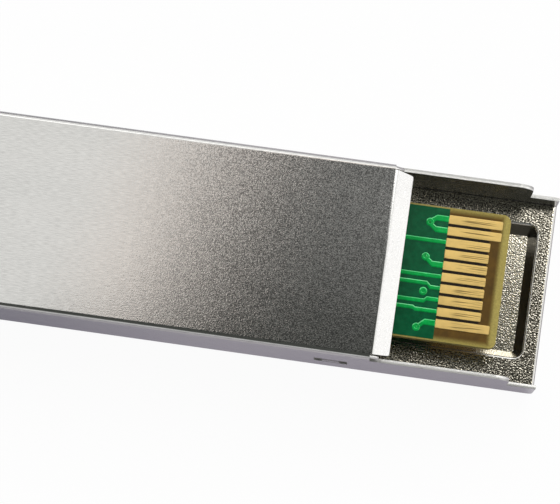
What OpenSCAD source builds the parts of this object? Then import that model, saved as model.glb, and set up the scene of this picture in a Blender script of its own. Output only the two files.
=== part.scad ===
// Pluggable optical transceiver module with a duplex fibre nose, lying on its flat hood face.
// X runs from the fibre ports to the rear card edge, Z points away from the flat face.
// The origin is at the middle of the footprint, on the flat face.

/* [Envelope] */
// Width of the covered body
body_w = 13.4; // [13:0.1:14]
// Height of the covered body
body_h = 8.5; // [8.3:0.1:9.5]
// Latch shoulder to the rear end
rear_len = 45; // [42:0.5:50]
// Latch shoulder back to the stop that meets the cage front
stop_gap = 2.5; // [2.2:0.1:3]
// Length of the nose in front of the stop
nose_out = 9; // [8.5:0.1:11]

/* [Nose] */
// Width of the nose inside the cage
nose_w = 13.7; // [13.5:0.1:14.5]
// Height of the nose inside the cage
nose_h = 8.6; // [8.4:0.1:9]
// Length of the nose behind the latch shoulder
nose_in = 4; // [3.8:0.1:6]
// Width across the stop flange
stop_w = 14.9; // [14.5:0.1:16]
// Height of the stop flange and of the latch guards
stop_h = 9.7; // [9.6:0.1:11]
// Length of the stop flange
stop_len = 3.5; // [3:0.1:4]
// Width of the nose between the bail arms
front_w = 12; // [11.8:0.1:12.6]
// Width of one latch guard
guard_w = 1.3; // [0.8:0.1:2]
// Front face to the latch guards
guard_setback = 1.1; // [0.5:0.1:1.5]
// Length of the ramp on the latch guards
guard_ramp = 1.65; // [1:0.05:2.5]
// Bevel on the front edges of the nose
nose_bevel = 0.3; // [0.1:0.05:0.5]

/* [Fibre ports] */
// Spacing of the two fibre axes
port_pitch = 6.25; // [6.2:0.01:6.3]
// Height of the fibre axes above the flat face
axis_z = 4.75; // [4.6:0.05:4.9]
// Width and height of one plug port
port_w = 4.7; // [4.5:0.05:4.9]
// Depth of the plug ports
port_depth = 10; // [9.5:0.1:10.5]
// Width of the slot for the plug's catch
key_w = 2; // [1.6:0.1:2.6]
// Depth of the slot for the plug's catch
key_h = 1.4; // [1:0.1:1.6]
// Width of the recess behind the slot, where the catch's lugs spread
lug_w = 3.8; // [3:0.1:4.4]
// Distance from the front face to the lug recess
lug_start = 2.2; // [1.5:0.1:3]
// Length of the lug recess
lug_len = 3; // [2:0.1:4]
// Bevel around the mouth of each port
port_bevel = 0.25; // [0.1:0.05:0.3]

/* [Sheet metal cover] */
// Thickness of the cover's sheet
sheet_t = 0.27; // [0.2:0.01:0.35]
// Outer radius of the cover's bends
bend_r = 0.4; // [0.38:0.01:0.6]
// Gap between the cover and the housing inside it
cover_fit = 0.03; // [0.02:0.01:0.1]
// Gap between the cover's front edge and the nose
cover_gap = 0.1; // [0.05:0.05:0.3]
// Height of the cover's lower edge above the flat face
cover_foot = 0.2; // [0.1:0.05:0.5]
// Rear end to the lower edge of the slanted lip
opening_len = 10.2; // [9:0.1:11]
// Drop of the slanted lip
lip_drop = 1.1; // [0.8:0.05:1.4]
// How much each side of the lip draws in towards its lower edge
lip_taper = 0.12; // [0.05:0.01:0.4]
// Radius of the lip's lower corners
lip_corner_r = 0.15; // [0.1:0.05:0.6]
// Length of the low stretch of side wall at the rear end
low_wall_len = 2; // [1:0.1:2.5]
// Height of the low stretch of side wall
low_wall_h = 4.1; // [3.5:0.1:5]
// Radius where the tall side wall comes down
wall_corner_r = 1; // [0.5:0.1:1.5]
// Radius of the side wall's lower rear corner
foot_corner_r = 0.5; // [0.2:0.1:0.8]
// Width of a snap window
window_w = 2.3; // [1.8:0.1:3]
// Height of a snap window
window_h = 1.8; // [1.4:0.1:2.2]
// Height of the snap windows' middle
window_z = 3.8; // [3.2:0.1:4.4]
// Rear end to the middle of the rear snap windows
window_rear = 14.15; // [13.9:0.05:18]
// Cover's front edge to the middle of the front snap windows
window_front = 2.2; // [2:0.1:12]
// Width of a snap boss
snap_w = 1.2; // [0.8:0.1:1.5]
// Height of a snap boss
snap_h = 1.3; // [1:0.1:1.4]
// Height of a snap boss's flat face
snap_flat = 0.8; // [0.4:0.1:0.9]

/* [Cast housing] */
// Thickness of the housing's floor
base_t = 0.9; // [0.6:0.1:1.2]
// Thickness of the housing's side walls
wall_t = 0.45; // [0.35:0.05:0.5]
// Height of the rear floor under the card edge
rear_floor_h = 2.2; // [2:0.1:2.8]
// Rear end to the start of the rear floor
rear_floor_len = 12.6; // [12:0.1:13.2]
// Gap between the housing's side walls and the lip's bend
wall_end_gap = 0.9; // [0.4:0.1:1.5]
// Radius of the rear floor's end
rear_edge_r = 0.25; // [0.1:0.05:0.4]
// Width of the pocket in the rear floor
pocket_w = 9.4; // [9:0.1:10]
// How far the pocket sits off the middle, towards the far side
pocket_shift = 0.15; // [0:0.05:0.3]
// Length of the pocket in the rear floor
pocket_len = 10; // [8:0.1:10.3]
// Depth of the pocket in the rear floor
pocket_depth = 1.6; // [1:0.1:1.6]
// Rear end to the pocket
pocket_rear = 1.1; // [1:0.1:1.6]
// How far the pocket's walls slope in
pocket_draft = 0.55; // [0.2:0.05:0.6]
// Corner radius of the pocket
pocket_r = 0.7; // [0.65:0.05:1.5]
// Width of the ledges that carry the board
ledge_w = 0.8; // [0.5:0.1:1]
// Thickness of the cross wall under the board, at the rear of the trough
bulkhead_t = 0.8; // [0.5:0.1:1.2]
// Gap between the cross wall and the board
bulkhead_gap = 0.05; // [0.03:0.01:0.2]

/* [Circuit board] */
// Thickness of the board
board_t = 1; // [0.8:0.1:1.2]
// Board's open face to the cover's outer face
board_to_face = 2.25; // [2.1:0.05:2.4]
// Width of the card edge
card_w = 9.2; // [9:0.1:9.4]
// Rear end to the end of the card edge
card_rear = 3.2; // [3:0.1:3.6]
// Length of the card edge
card_len = 10.3; // [10:0.1:11]
// Gap between the board's sides and the housing walls
board_gap = 0.25; // [0.1:0.05:0.4]
// Length of the bevel at the card edge
card_bevel = 0.5; // [0.3:0.05:0.6]
// Depth of the bevel at the card edge
card_bevel_h = 0.3; // [0.2:0.05:0.35]
// Corner radius of the card edge
card_corner_r = 0.5; // [0.3:0.1:0.8]
// Contacts in each row
pad_count = 10; // [8:1:10]
// Spacing of the contacts
pad_pitch = 0.8; // [0.75:0.05:0.85]
// Width of a contact
pad_w = 0.61; // [0.5:0.01:0.7]
// Thickness of a contact
pad_t = 0.04; // [0.02:0.01:0.06]
// End of the card edge to the far end of the contacts
pad_start = 4.22; // [4:0.02:4.6]
// End of the card edge to the long contacts
pad_long_gap = 0.54; // [0.5:0.02:0.8]
// End of the card edge to the short contacts
pad_short_gap = 1.21; // [1:0.02:1.6]
// Sideways offset of each row from the middle
pad_offset = 0.2; // [0:0.05:0.3]

/* [Optical subassemblies] */
// Diameter of the ferrule bore
ferrule_d = 1.25; // [1.2:0.01:1.3]
// Wall of the ceramic sleeve
sleeve_wall = 0.3; // [0.2:0.05:0.4]
// Length of the ceramic sleeve
sleeve_len = 4.6; // [4:0.1:5]
// Width of the slit along the ceramic sleeve
sleeve_slit = 0.2; // [0.1:0.05:0.3]
// How far the sleeve sits back from the barrel's tip
sleeve_inset = 0.5; // [0.3:0.1:1]
// Gap between the sleeve and the barrel's bore
sleeve_fit = 0.05; // [0.02:0.01:0.1]
// Diameter of the barrel's tip inside the plug port
tip_d = 2.9; // [2.8:0.05:3.1]
// Front face to the barrel's tip
tip_inset = 5.3; // [5:0.1:6]
// Diameter of the barrel's flange
flange_d = 4.4; // [4:0.1:4.5]
// Length of the flange's seat in the nose
seat_len = 3.6; // [3:0.1:3.7]
// Gap between a barrel and the nose around it
barrel_fit = 0.05; // [0.03:0.01:0.1]
// Diameter of the barrel's neck
neck_d = 3.4; // [3:0.1:3.6]
// Gap between a can's header and the housing wall
can_gap = 0.03; // [0.02:0.01:0.1]
// Gap between the headers of the two cans
can_web = 0.65; // [0.4:0.05:1]
// Thickness of the can's header
header_t = 1.2; // [1:0.1:1.4]
// Step from the header in to the holder behind the neck
holder_step = 0.2; // [0.1:0.05:0.3]
// Length of the holder
holder_len = 2.8; // [2.4:0.1:3.4]
// Wall of the holder around the can's cap
holder_wall = 0.65; // [0.5:0.05:0.8]
// Gap around the cap in the holder
cap_gap = 0.15; // [0.1:0.05:0.2]
// Length of the can's cap
cap_len = 2; // [1.6:0.1:2.2]
// Depth of the window in the can's cap
cap_window = 0.3; // [0.2:0.05:0.5]
// Diameter of the can's leads
lead_d = 0.45; // [0.3:0.05:0.5]
// Length of the can's leads
lead_len = 0.6; // [0.5:0.1:1]
// Diameter of the ring of leads
lead_ring_d = 2.54; // [2:0.02:2.6]
// Thickness of the retainer plate
retainer_t = 0.8; // [0.6:0.1:1]
// Gap on each side of the retainer plate
retainer_gap = 0.1; // [0.05:0.05:0.2]
// Gap between the retainer plate and the cover
retainer_top = 0.6; // [0.2:0.1:0.8]
// Thickness of the flexible circuits
flex_t = 0.15; // [0.1:0.01:0.2]
// Width of the flexible circuits
flex_w = 3.6; // [3:0.1:4]
// Inner bend radius of the flexible circuits
flex_bend_r = 0.3; // [0.2:0.05:0.5]
// Length of a flexible circuit on the board
flex_lap = 2; // [1.5:0.1:3]
// Gap from a flexible circuit's bend to the board's front edge
flex_gap = 0.5; // [0.3:0.1:1]

/* [Board components] */
// Width of the driver and controller chips
chip_w = 4; // [3.5:0.1:4.5]
// Width of the receiver chip
small_chip_w = 3; // [2.5:0.1:3.2]
// Thickness of the chips
chip_t = 0.85; // [0.7:0.05:1]
// Length of the memory chip
memory_len = 3; // [2:0.1:3.5]
// Width of the memory chip
memory_w = 2; // [1.5:0.1:2.5]
// Length of a power inductor
inductor_len = 2; // [1.6:0.1:2.5]
// Width of a power inductor
inductor_w = 1.25; // [1:0.05:1.5]
// Height of a power inductor
inductor_h = 1; // [0.8:0.1:1.2]
// Length of a small capacitor or resistor
passive_len = 1; // [0.8:0.1:1.2]
// Width of a small capacitor or resistor
passive_w = 0.5; // [0.4:0.05:0.6]
// Height of a small capacitor
capacitor_h = 0.5; // [0.4:0.05:0.6]
// Height of a resistor
resistor_h = 0.35; // [0.3:0.05:0.45]
// Thickness of the thermal pad under the driver chip
thermal_t = 0.8; // [0.5:0.1:1]
// How far the thermal pad sits in from the driver chip's edges
thermal_inset = 0.2; // [0.1:0.1:0.5]
// Flexible circuits' ends to the driver chip
driver_gap = 2; // [1.5:0.1:3]
// Board ledges to the driver and receiver chips
chip_side_gap = 0.5; // [0.2:0.1:0.6]
// Spacing of the driver and controller chips along the board
chip_spacing = 5; // [4.5:0.1:6]
// Controller chip to the power inductors
inductor_gap = 1.2; // [0.8:0.1:1.5]
// Power inductors to the memory chip
memory_gap = 0.8; // [0.4:0.1:1]
// Flexible circuits' ends to the first small component
passive_gap = 1; // [0.6:0.1:2]
// Spacing of neighbouring small components
passive_pitch = 1.6; // [1.4:0.1:2]
// Board's side edge to the row of capacitors
capacitor_edge = 1; // [0.8:0.1:1.2]
// Spacing of the capacitor and resistor rows
row_spacing = 1.2; // [1:0.1:1.4]
// Capacitors on each side of the board
capacitor_count = 4; // [2:1:4]
// Resistors on each side of the board
resistor_count = 3; // [2:1:4]

/* [Shielding collar] */
// Thickness of the collar's spring sheet
collar_t = 0.12; // [0.1:0.01:0.15]
// Length of the collar
collar_len = 3.6; // [3:0.1:4.2]
// Width of the band that joins the fingers
collar_band = 0.6; // [0.4:0.1:0.8]
// How far the fingers bow out of their recess
collar_bow = 0.45; // [0.3:0.05:0.6]
// Gap between neighbouring fingers
finger_gap = 0.3; // [0.2:0.05:0.4]
// Fingers on each side face, and on each half of the latch face
finger_count = 3; // [2:1:4]
// Height of the lowest finger above the flat face
finger_foot = 0.2; // [0.1:0.05:0.5]
// Depth of the collar's recess in the nose
collar_recess = 0.2; // [0.17:0.01:0.25]
// Gap between the collar and the nose
collar_fit = 0.02; // [0.01:0.01:0.04]

/* [Latch and bail] */
// Width of the latch lever and its boss
lever_w = 2.6; // [2.2:0.1:3]
// Thickness of the lever's rear arm
lever_t = 0.6; // [0.5:0.05:0.8]
// Gap between the lever and its slot
lever_gap = 0.2; // [0.1:0.05:0.3]
// Length of the latch boss
boss_len = 2.6; // [2.2:0.1:2.8]
// Height of the latch boss above the lever's arm
boss_h = 0.53; // [0.4:0.01:0.7]
// Length of the boss's flat top
boss_flat = 0.6; // [0.3:0.1:1]
// Latch shoulder to the lever's pivot
pivot_len = 5; // [4.6:0.1:5.4]
// Diameter of the lever's hub
hub_d = 1.54; // [1.4:0.02:1.6]
// Gap under the lever's hub
hub_gap = 0.1; // [0.05:0.05:0.2]
// Diameter of the lever's pin
pin_d = 0.8; // [0.6:0.05:0.9]
// Stop flange's side to the end of the lever's pin
pin_inset = 1; // [0.5:0.1:2]
// Radial clearance of the lever on its pin
pin_fit = 0.03; // [0.01:0.01:0.06]
// Lever's pivot to the bail's shaft
shaft_len = 4.2; // [3.9:0.1:4.4]
// Diameter of the bail's shaft
shaft_d = 1; // [0.8:0.05:1.1]
// Radial clearance of the shaft in the nose
shaft_fit = 0.05; // [0.02:0.01:0.08]
// Wall left between the plug ports and the latch slot
slot_web = 0.25; // [0.2:0.05:0.4]
// Depth of the spring's recess below the latch slot
spring_recess = 0.6; // [0.4:0.05:0.65]
// Thickness of the lever's front arm
front_arm_t = 0.5; // [0.4:0.05:0.6]
// Gap between the cam and the lever
cam_gap = 0.08; // [0.05:0.01:0.12]
// Rise of the cam over a quarter turn
cam_rise = 0.34; // [0.2:0.02:0.36]
// Thickness of the bail's arms and diameter of its bar
bail_d = 0.9; // [0.7:0.05:1]
// Thickness of the bail's arms across the nose
bail_arm_t = 0.7; // [0.5:0.05:0.9]
// Gap between the bail's arms and the nose
bail_side_gap = 0.1; // [0.05:0.05:0.2]
// Gap between the bail's bar and the front face
bail_gap = 0.3; // [0.2:0.05:0.5]
// Height of the bail's bar above the flat face
bail_foot = 0.05; // [0.03:0.01:0.3]
// Radius of the bail's eyes around its shaft
bail_eye_r = 0.9; // [0.8:0.05:1]
// Height of the bend in the bail's arms
bail_bend_z = 6.2; // [5.5:0.1:6.8]
// Thickness of the latch spring's leaf
leaf_t = 0.12; // [0.08:0.01:0.15]
// Width of the latch spring's leaf
leaf_w = 2; // [1.6:0.1:2.2]
// Length of the latch spring's flat foot
leaf_foot = 1.2; // [0.8:0.1:1.6]
// Gap between the latch spring and the lever
leaf_gap = 0.05; // [0.03:0.01:0.1]

/* [Hidden] */
$fn = 48;
eps = 0.01;
far = 40;

// Places along the length
overall_len = bail_d + bail_gap + nose_out + stop_gap + rear_len;
x_rear = overall_len / 2;
x_shoulder = x_rear - rear_len;
x_stop = x_shoulder - stop_gap;
x_front_block = x_stop - stop_len;
x_face = x_stop - nose_out;
x_bar = x_face - bail_gap - bail_d / 2;
x_nose = x_shoulder + nose_in;
x_cover = x_nose + cover_gap;
x_open = x_rear - opening_len;
x_lip = x_open - lip_drop - (sqrt(2) - 1) * bend_r;
x_floor = x_rear - rear_floor_len;
x_wall = x_lip - wall_end_gap;
x_card_end = x_rear - card_rear;
x_card_start = x_card_end - card_len;
x_port_end = x_face + port_depth;
x_tip = x_face + tip_inset;
x_seat = x_nose - seat_len;
x_retainer = x_nose + retainer_gap;
x_holder = x_retainer + retainer_t + retainer_gap;
x_header = x_holder + holder_len;
x_leads = x_header + header_t;
x_flex = x_leads + lead_len;
x_board = x_flex + flex_t + flex_bend_r + flex_gap;
x_pivot = x_shoulder - pivot_len;
x_shaft = x_pivot - shaft_len;
x_lever_end = x_shoulder + boss_len;
x_slot_end = x_lever_end + lever_gap;
x_slot_deep = x_port_end + lever_gap;

// Places across the width
body_half = body_w / 2;
base_half = body_half - sheet_t - cover_fit;
trough_half = base_half - wall_t;
board_half = trough_half - board_gap;
ledge_half = trough_half - ledge_w;
slot_half = lever_w / 2 + lever_gap;
arm_y = front_w / 2 + bail_side_gap;
bail_half = arm_y + bail_arm_t;
axis_y = port_pitch / 2;
lip_half = body_half - bend_r;

// Places up the height
board_top = body_h - board_to_face;
board_under = board_top - board_t;
wall_top = body_h - sheet_t - cover_fit;
rear_wall_h = body_h - lip_drop;
slot_floor = axis_z + port_w / 2 + slot_web;
slot_deep = slot_floor - spring_recess;
z_pivot = slot_floor + hub_gap + hub_d / 2;
lever_top = z_pivot + lever_t / 2;
lever_under = z_pivot - lever_t / 2;
boss_top = lever_top + boss_h;
z_shaft = slot_floor + shaft_d / 2 + shaft_fit;
front_arm_z = z_shaft + shaft_d / 2 + cam_gap;
z_bar = bail_foot + bail_d / 2;
key_floor = axis_z - port_w / 2 - key_h;
pedestal_h = board_under - chip_t - thermal_t;

// Diameters of the cans, as large as the walls and the neighbouring can allow
header_d = min(port_pitch - can_web, 2 * (trough_half - axis_y - can_gap));
holder_d = header_d - 2 * holder_step;
cap_bore_d = holder_d - 2 * holder_wall;
cap_d = cap_bore_d - 2 * cap_gap;
barrel_bore_d = ferrule_d + 2 * sleeve_wall + 2 * sleeve_fit;

// Places of the components on the board
x_flex_end = x_board + flex_lap;
x_driver = x_flex_end + driver_gap + chip_w / 2;
x_controller = x_driver + chip_spacing;
x_inductor = x_controller + chip_w / 2 + inductor_gap + inductor_len / 2;
x_memory = x_inductor + inductor_len / 2 + memory_gap + memory_len / 2;
x_passives = x_flex_end + passive_gap;
y_driver = ledge_half - chip_side_gap - chip_w / 2;
y_receiver = small_chip_w / 2 + chip_side_gap - ledge_half;
y_capacitors = board_half - capacitor_edge;
y_resistors = y_capacitors - row_spacing;

// Extrudes a shape drawn in Y and Z along X.
module along_x(x0, x1) {
    translate([x0, 0, 0]) rotate([90, 0, 90]) linear_extrude(x1 - x0) children();
}

// Extrudes a shape drawn in X and Z along Y.
module along_y(y0, y1) {
    translate([0, y1, 0]) rotate([90, 0, 0]) linear_extrude(y1 - y0) children();
}

// A box between two corners.
module span(a, b) {
    translate(a) cube(b - a);
}

// A rod along X between two places.
module rod_x(x0, x1, y, z, d) {
    translate([x0, y, z]) rotate([0, 90, 0]) cylinder(d = d, h = x1 - x0);
}

// A rod along Y between two places.
module rod_y(y0, y1, x, z, d) {
    translate([x, y1, z]) rotate([90, 0, 0]) cylinder(d = d, h = y1 - y0);
}

// Points of an arc, from one angle to another.
function arc(c, r, a0, a1, steps = 6) =
    [for (i = [0:steps]) let (a = a0 + (a1 - a0) * i / steps) c + r * [cos(a), sin(a)]];

// A section standing on its foot, with its two upper corners rounded.
module rounded_top(w, h, r) {
    translate([-w / 2, 0]) square([w, h - r]);
    translate([-w / 2 + r, 0]) square([w - 2 * r, h]);
    for (s = [-1, 1]) translate([s * (w / 2 - r), h - r]) circle(r);
}

// A straight bar with round ends between two points.
module bar_2d(a, b, d) {
    v = b - a;
    for (p = [a, b]) translate(p) circle(d = d);
    translate(a) rotate(atan2(v[1], v[0])) translate([0, -d / 2]) square([norm(v), d]);
}

// A box with its long edges bevelled at the end where x is x0.
module bevelled_front(x0, x1, half, h, bevel) {
    along_y(-half, half)
        polygon([[x0 + bevel, 0], [x1, 0], [x1, h], [x0 + bevel, h], [x0, h - bevel], [x0, bevel]]);
}

// The cast housing: trough, rear floor with its pocket, snap bosses and nose.
module base_housing() {
    color("#8d8a84") difference() {
        union() {
            trough();
            nose();
            for (x = [x_rear - window_rear, x_cover + window_front], s = [-1, 1]) snap_boss(x, s);
        }
        fibre_ports();
        latch_slot();
        rod_y(-far, far, x_shaft, z_shaft, shaft_d + 2 * shaft_fit);
        lever_pin_rod();
    }
}

module trough() {
    difference() {
        along_y(-base_half, base_half) polygon(concat(
            [[x_nose - eps, 0], [x_rear, 0]],
            arc([x_rear - rear_edge_r, rear_floor_h - rear_edge_r], rear_edge_r, 0, 90),
            [[x_wall, rear_floor_h], [x_wall, wall_top], [x_nose - eps, wall_top]]));
        difference() {
            union() {
                span([x_nose, -trough_half, base_t], [x_floor, trough_half, far]);
                span([x_floor - eps, -trough_half, rear_floor_h],
                    [max(x_floor, x_wall) + eps, trough_half, far]);
            }
            for (s = [-1, 1]) ledge(s);
            span([x_floor - bulkhead_t, -trough_half - eps, 0],
                [x_floor + 2 * eps, trough_half + eps, board_under - bulkhead_gap]);
            span([x_driver - chip_w / 2, y_driver - chip_w / 2, 0],
                [x_driver + chip_w / 2, y_driver + chip_w / 2, pedestal_h]);
        }
        pocket();
    }
}

// A ledge under one side edge of the board, behind the flexible circuits.
module ledge(s) {
    y0 = s > 0 ? ledge_half : -trough_half - eps;
    span([x_flex_end + flex_gap, y0, 0], [min(x_wall, x_card_start), y0 + ledge_w + eps, board_under]);
}

module pocket() {
    x1 = x_rear - pocket_rear;
    x0 = x1 - pocket_len;
    floor_z = rear_floor_h - pocket_depth;
    cy = pocket_w / 2 - pocket_r;
    hull() for (cx = [x0 + pocket_r, x1 - pocket_r], y = [pocket_shift - cy, pocket_shift + cy]) {
        translate([cx, y, rear_floor_h]) cylinder(r = pocket_r, h = eps, $fn = 32);
        translate([cx, y, floor_z]) cylinder(r = pocket_r - pocket_draft, h = eps, $fn = 32);
    }
}

module snap_boss(x, s) {
    z0 = window_z - snap_h / 2;
    turn = s > 0 ? 0 : 180;
    translate([x, 0, 0]) rotate([0, 0, turn]) along_x(-snap_w / 2, snap_w / 2) polygon([
        [base_half - eps, z0], [body_half, z0], [body_half, z0 + snap_flat], [base_half - eps, z0 + snap_h]]);
}

module nose() {
    difference() {
        span([x_stop - eps, -nose_w / 2, 0], [x_nose, nose_w / 2, nose_h]);
        collar_recesses();
    }
    bevelled_front(x_front_block, x_stop, stop_w / 2, stop_h, nose_bevel);
    bevelled_front(x_face, x_front_block + nose_bevel, front_w / 2, nose_h, nose_bevel);
    for (s = [-1, 1]) latch_guard(s);
}

module latch_guard(s) {
    y0 = s > 0 ? slot_half : -slot_half - guard_w;
    x0 = x_face + guard_setback;
    x1 = x_front_block + nose_bevel;
    top = stop_h - nose_bevel;
    along_y(y0, y0 + guard_w)
        polygon([[x0, nose_h - nose_bevel], [x1, nose_h - nose_bevel], [x1, top], [x0 + guard_ramp, top],
            [x0, nose_h]]);
}

module collar_recesses() {
    x1 = x_stop + collar_len + collar_fit;
    for (s = [-1, 1]) translate([0, s * nose_w / 2, 0])
        span([x_stop, -collar_recess, -far], [x1, collar_recess, far]);
    span([x_stop, -far, nose_h - collar_recess], [x1, far, far]);
    span([x1 - collar_band - 2 * collar_fit, -far, -far], [x1, far, collar_recess]);
}

module fibre_ports() {
    half = port_w / 2;
    for (s = [-1, 1]) translate([0, s * axis_y, 0]) {
        span([x_face - eps, -half, axis_z - half], [x_port_end, half, axis_z + half]);
        span([x_face - eps, -key_w / 2, key_floor], [x_face + lug_start + lug_len, key_w / 2, axis_z]);
        span([x_face + lug_start, -lug_w / 2, key_floor], [x_face + lug_start + lug_len, lug_w / 2, axis_z]);
        port_mouth();
        rod_x(x_port_end - eps, x_nose, 0, axis_z, tip_d + 2 * barrel_fit);
        rod_x(x_seat, x_nose + eps, 0, axis_z, flange_d + 2 * barrel_fit);
    }
}

// The bevel around one port's mouth.
module port_mouth() {
    half = port_w / 2;
    b = port_bevel;
    along_y(-half, half) polygon([[x_face - eps, axis_z + half - eps], [x_face - eps, axis_z + half + b],
        [x_face + b, axis_z + half - eps]]);
    for (s = [0, 180]) translate([0, 0, axis_z]) rotate([s, 0, 0])
        translate([0, 0, -half]) linear_extrude(port_w) polygon([[x_face - eps, half - eps],
            [x_face - eps, half + b], [x_face + b, half - eps]]);
}

module latch_slot() {
    span([x_shaft - bail_eye_r - lever_gap, -slot_half, slot_floor], [x_slot_end, slot_half, far]);
    span([x_slot_deep, -slot_half, slot_deep], [x_slot_end, slot_half, far]);
}

// The folded sheet cover: top, side walls stepped at the rear, slanted lip and snap windows.
module cover() {
    color("#b4b1ac") {
        difference() {
            intersection() {
                along_x(x_cover, x_rear) difference() {
                    rounded_top(body_w, body_h, bend_r);
                    translate([0, -eps])
                        rounded_top(body_w - 2 * sheet_t, body_h - sheet_t + eps, bend_r - sheet_t);
                }
                along_y(-far, far) cover_side();
            }
            for (x = [x_rear - window_rear, x_cover + window_front]) {
                translate([x, 0, window_z]) cube([window_w, far, window_h], center = true);
            }
        }
        lip();
    }
}

module cover_side() {
    polygon(concat(
        [[x_cover, cover_foot]],
        arc([x_rear - foot_corner_r, cover_foot + foot_corner_r], foot_corner_r, -90, 0),
        [[x_rear, low_wall_h], [x_rear - low_wall_len, low_wall_h]],
        arc([x_rear - low_wall_len - wall_corner_r, rear_wall_h - wall_corner_r], wall_corner_r, 0, 90),
        [[x_lip, rear_wall_h], [x_lip, body_h + eps], [x_cover, body_h + eps]]));
}

module lip() {
    c = [x_lip, body_h - bend_r];
    slant = [1, -1] * (x_open - x_lip - bend_r / sqrt(2));
    outer = arc(c, bend_r, 90, 45);
    inner = arc(c, bend_r - sheet_t, 45, 90);
    low_half = lip_half - lip_taper;
    intersection() {
        along_y(-lip_half, lip_half) polygon(concat(
            [[x_lip - eps, body_h]], outer, [outer[6] + slant, inner[0] + slant], inner,
            [[x_lip - eps, body_h - sheet_t]]));
        linear_extrude(far) polygon(concat(
            [[x_lip - bend_r, -lip_half], [x_lip, -lip_half]],
            arc([x_open - lip_corner_r, lip_corner_r - low_half], lip_corner_r, -80, 0),
            arc([x_open - lip_corner_r, low_half - lip_corner_r], lip_corner_r, 0, 80),
            [[x_lip, lip_half], [x_lip - bend_r, lip_half]]));
    }
}

// The circuit board with its narrower card edge, bevelled and round at the corners.
module circuit_board() {
    mid = board_under + board_t / 2;
    color("#0f6b45") intersection() {
        along_y(-far, far) polygon([[x_board, board_under], [x_card_end - card_bevel, board_under],
            [x_card_end, board_under + card_bevel_h], [x_card_end, board_top - card_bevel_h],
            [x_card_end - card_bevel, board_top], [x_board, board_top]]);
        translate([0, 0, mid - board_t]) linear_extrude(2 * board_t) polygon(concat(
            [[x_board, -board_half], [x_card_start, -board_half], [x_card_start, -card_w / 2]],
            arc([x_card_end - card_corner_r, card_corner_r - card_w / 2], card_corner_r, -90, 0),
            arc([x_card_end - card_corner_r, card_w / 2 - card_corner_r], card_corner_r, 0, 90),
            [[x_card_start, card_w / 2], [x_card_start, board_half], [x_board, board_half]]));
    }
}

// One row of contacts. The listed contacts reach further towards the end of the card edge.
module contact_row(z, y_mid, long_ones) {
    for (i = [1:pad_count]) {
        gap = len(search(i, long_ones)) > 0 ? pad_long_gap : pad_short_gap;
        y = y_mid + ((pad_count + 1) / 2 - i) * pad_pitch;
        span([x_card_end - pad_start, y - pad_w / 2, z], [x_card_end - gap, y + pad_w / 2, z + pad_t]);
    }
}

module edge_contacts_open_side() {
    color("#d2b765") contact_row(board_top, pad_offset, [1, 2, pad_count]);
}

module edge_contacts_hood_side() {
    color("#d2b765") contact_row(board_under - pad_t, -pad_offset, [1, 4, 7, pad_count]);
}

// The barrel that guides a plug's ferrule and holds the can, on one side of the nose.
module osa_barrel(s) {
    translate([0, s * axis_y, 0]) difference() {
        union() {
            rod_x(x_tip, x_holder, 0, axis_z, tip_d);
            rod_x(x_seat, x_retainer, 0, axis_z, flange_d);
            rod_x(x_retainer - eps, x_holder + eps, 0, axis_z, neck_d);
            rod_x(x_holder, x_header, 0, axis_z, holder_d);
        }
        rod_x(x_tip - eps, x_tip + sleeve_inset, 0, axis_z, ferrule_d + sleeve_wall);
        rod_x(x_tip + sleeve_inset - eps, x_tip + sleeve_inset + sleeve_len, 0, axis_z, barrel_bore_d);
        rod_x(x_tip, x_header, 0, axis_z, ferrule_d / 2);
        rod_x(x_header - cap_len - cap_gap, x_header + eps, 0, axis_z, cap_bore_d);
    }
}

module osa_sleeve(s) {
    x0 = x_tip + sleeve_inset + sleeve_fit;
    x1 = x_tip + sleeve_inset + sleeve_len - sleeve_fit;
    translate([0, s * axis_y, 0]) difference() {
        rod_x(x0, x1, 0, axis_z, ferrule_d + 2 * sleeve_wall);
        rod_x(x0 - eps, x1 + eps, 0, axis_z, ferrule_d);
        span([x0 - eps, -sleeve_slit / 2, axis_z], [x1 + eps, sleeve_slit / 2, axis_z + far]);
    }
}

module osa_can(s) {
    translate([0, s * axis_y, 0]) {
        difference() {
            rod_x(x_header - cap_len, x_header + eps, 0, axis_z, cap_d);
            rod_x(x_header - cap_len - eps, x_header - cap_len + cap_window, 0, axis_z, ferrule_d);
        }
        rod_x(x_header, x_leads, 0, axis_z, header_d);
        for (a = [45:90:315]) {
            rod_x(x_leads - eps, x_flex, lead_ring_d / 2 * cos(a), axis_z + lead_ring_d / 2 * sin(a), lead_d);
        }
    }
}

// A flexible circuit from the can's leads, bent flat onto one face of the board.
module osa_flex(s, up) {
    lap_z = up ? board_top : board_under - flex_t;
    foot_z = axis_z - lead_ring_d / 2 - lead_d;
    bend_c = [x_flex + flex_t + flex_bend_r, lap_z - flex_bend_r];
    outer = arc(bend_c, flex_bend_r + flex_t, 180, 90);
    inner = arc(bend_c, flex_bend_r, 90, 180);
    along_y(s * axis_y - flex_w / 2, s * axis_y + flex_w / 2) polygon(concat(
        [[x_flex + flex_t, foot_z], [x_flex, foot_z]], outer,
        [[x_flex_end, lap_z + flex_t], [x_flex_end, lap_z]], inner));
}

module tosa_barrel() { color("#b9b3a4") osa_barrel(1); }
module tosa_sleeve() { color("#e9e6dc") osa_sleeve(1); }
module tosa_can() { color("#c7a95a") osa_can(1); }
module tosa_flex() { color("#a8641f") osa_flex(1, true); }
module rosa_barrel() { color("#b9b3a4") osa_barrel(-1); }
module rosa_sleeve() { color("#e9e6dc") osa_sleeve(-1); }
module rosa_can() { color("#c7a95a") osa_can(-1); }
module rosa_flex() { color("#a8641f") osa_flex(-1, false); }

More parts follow.
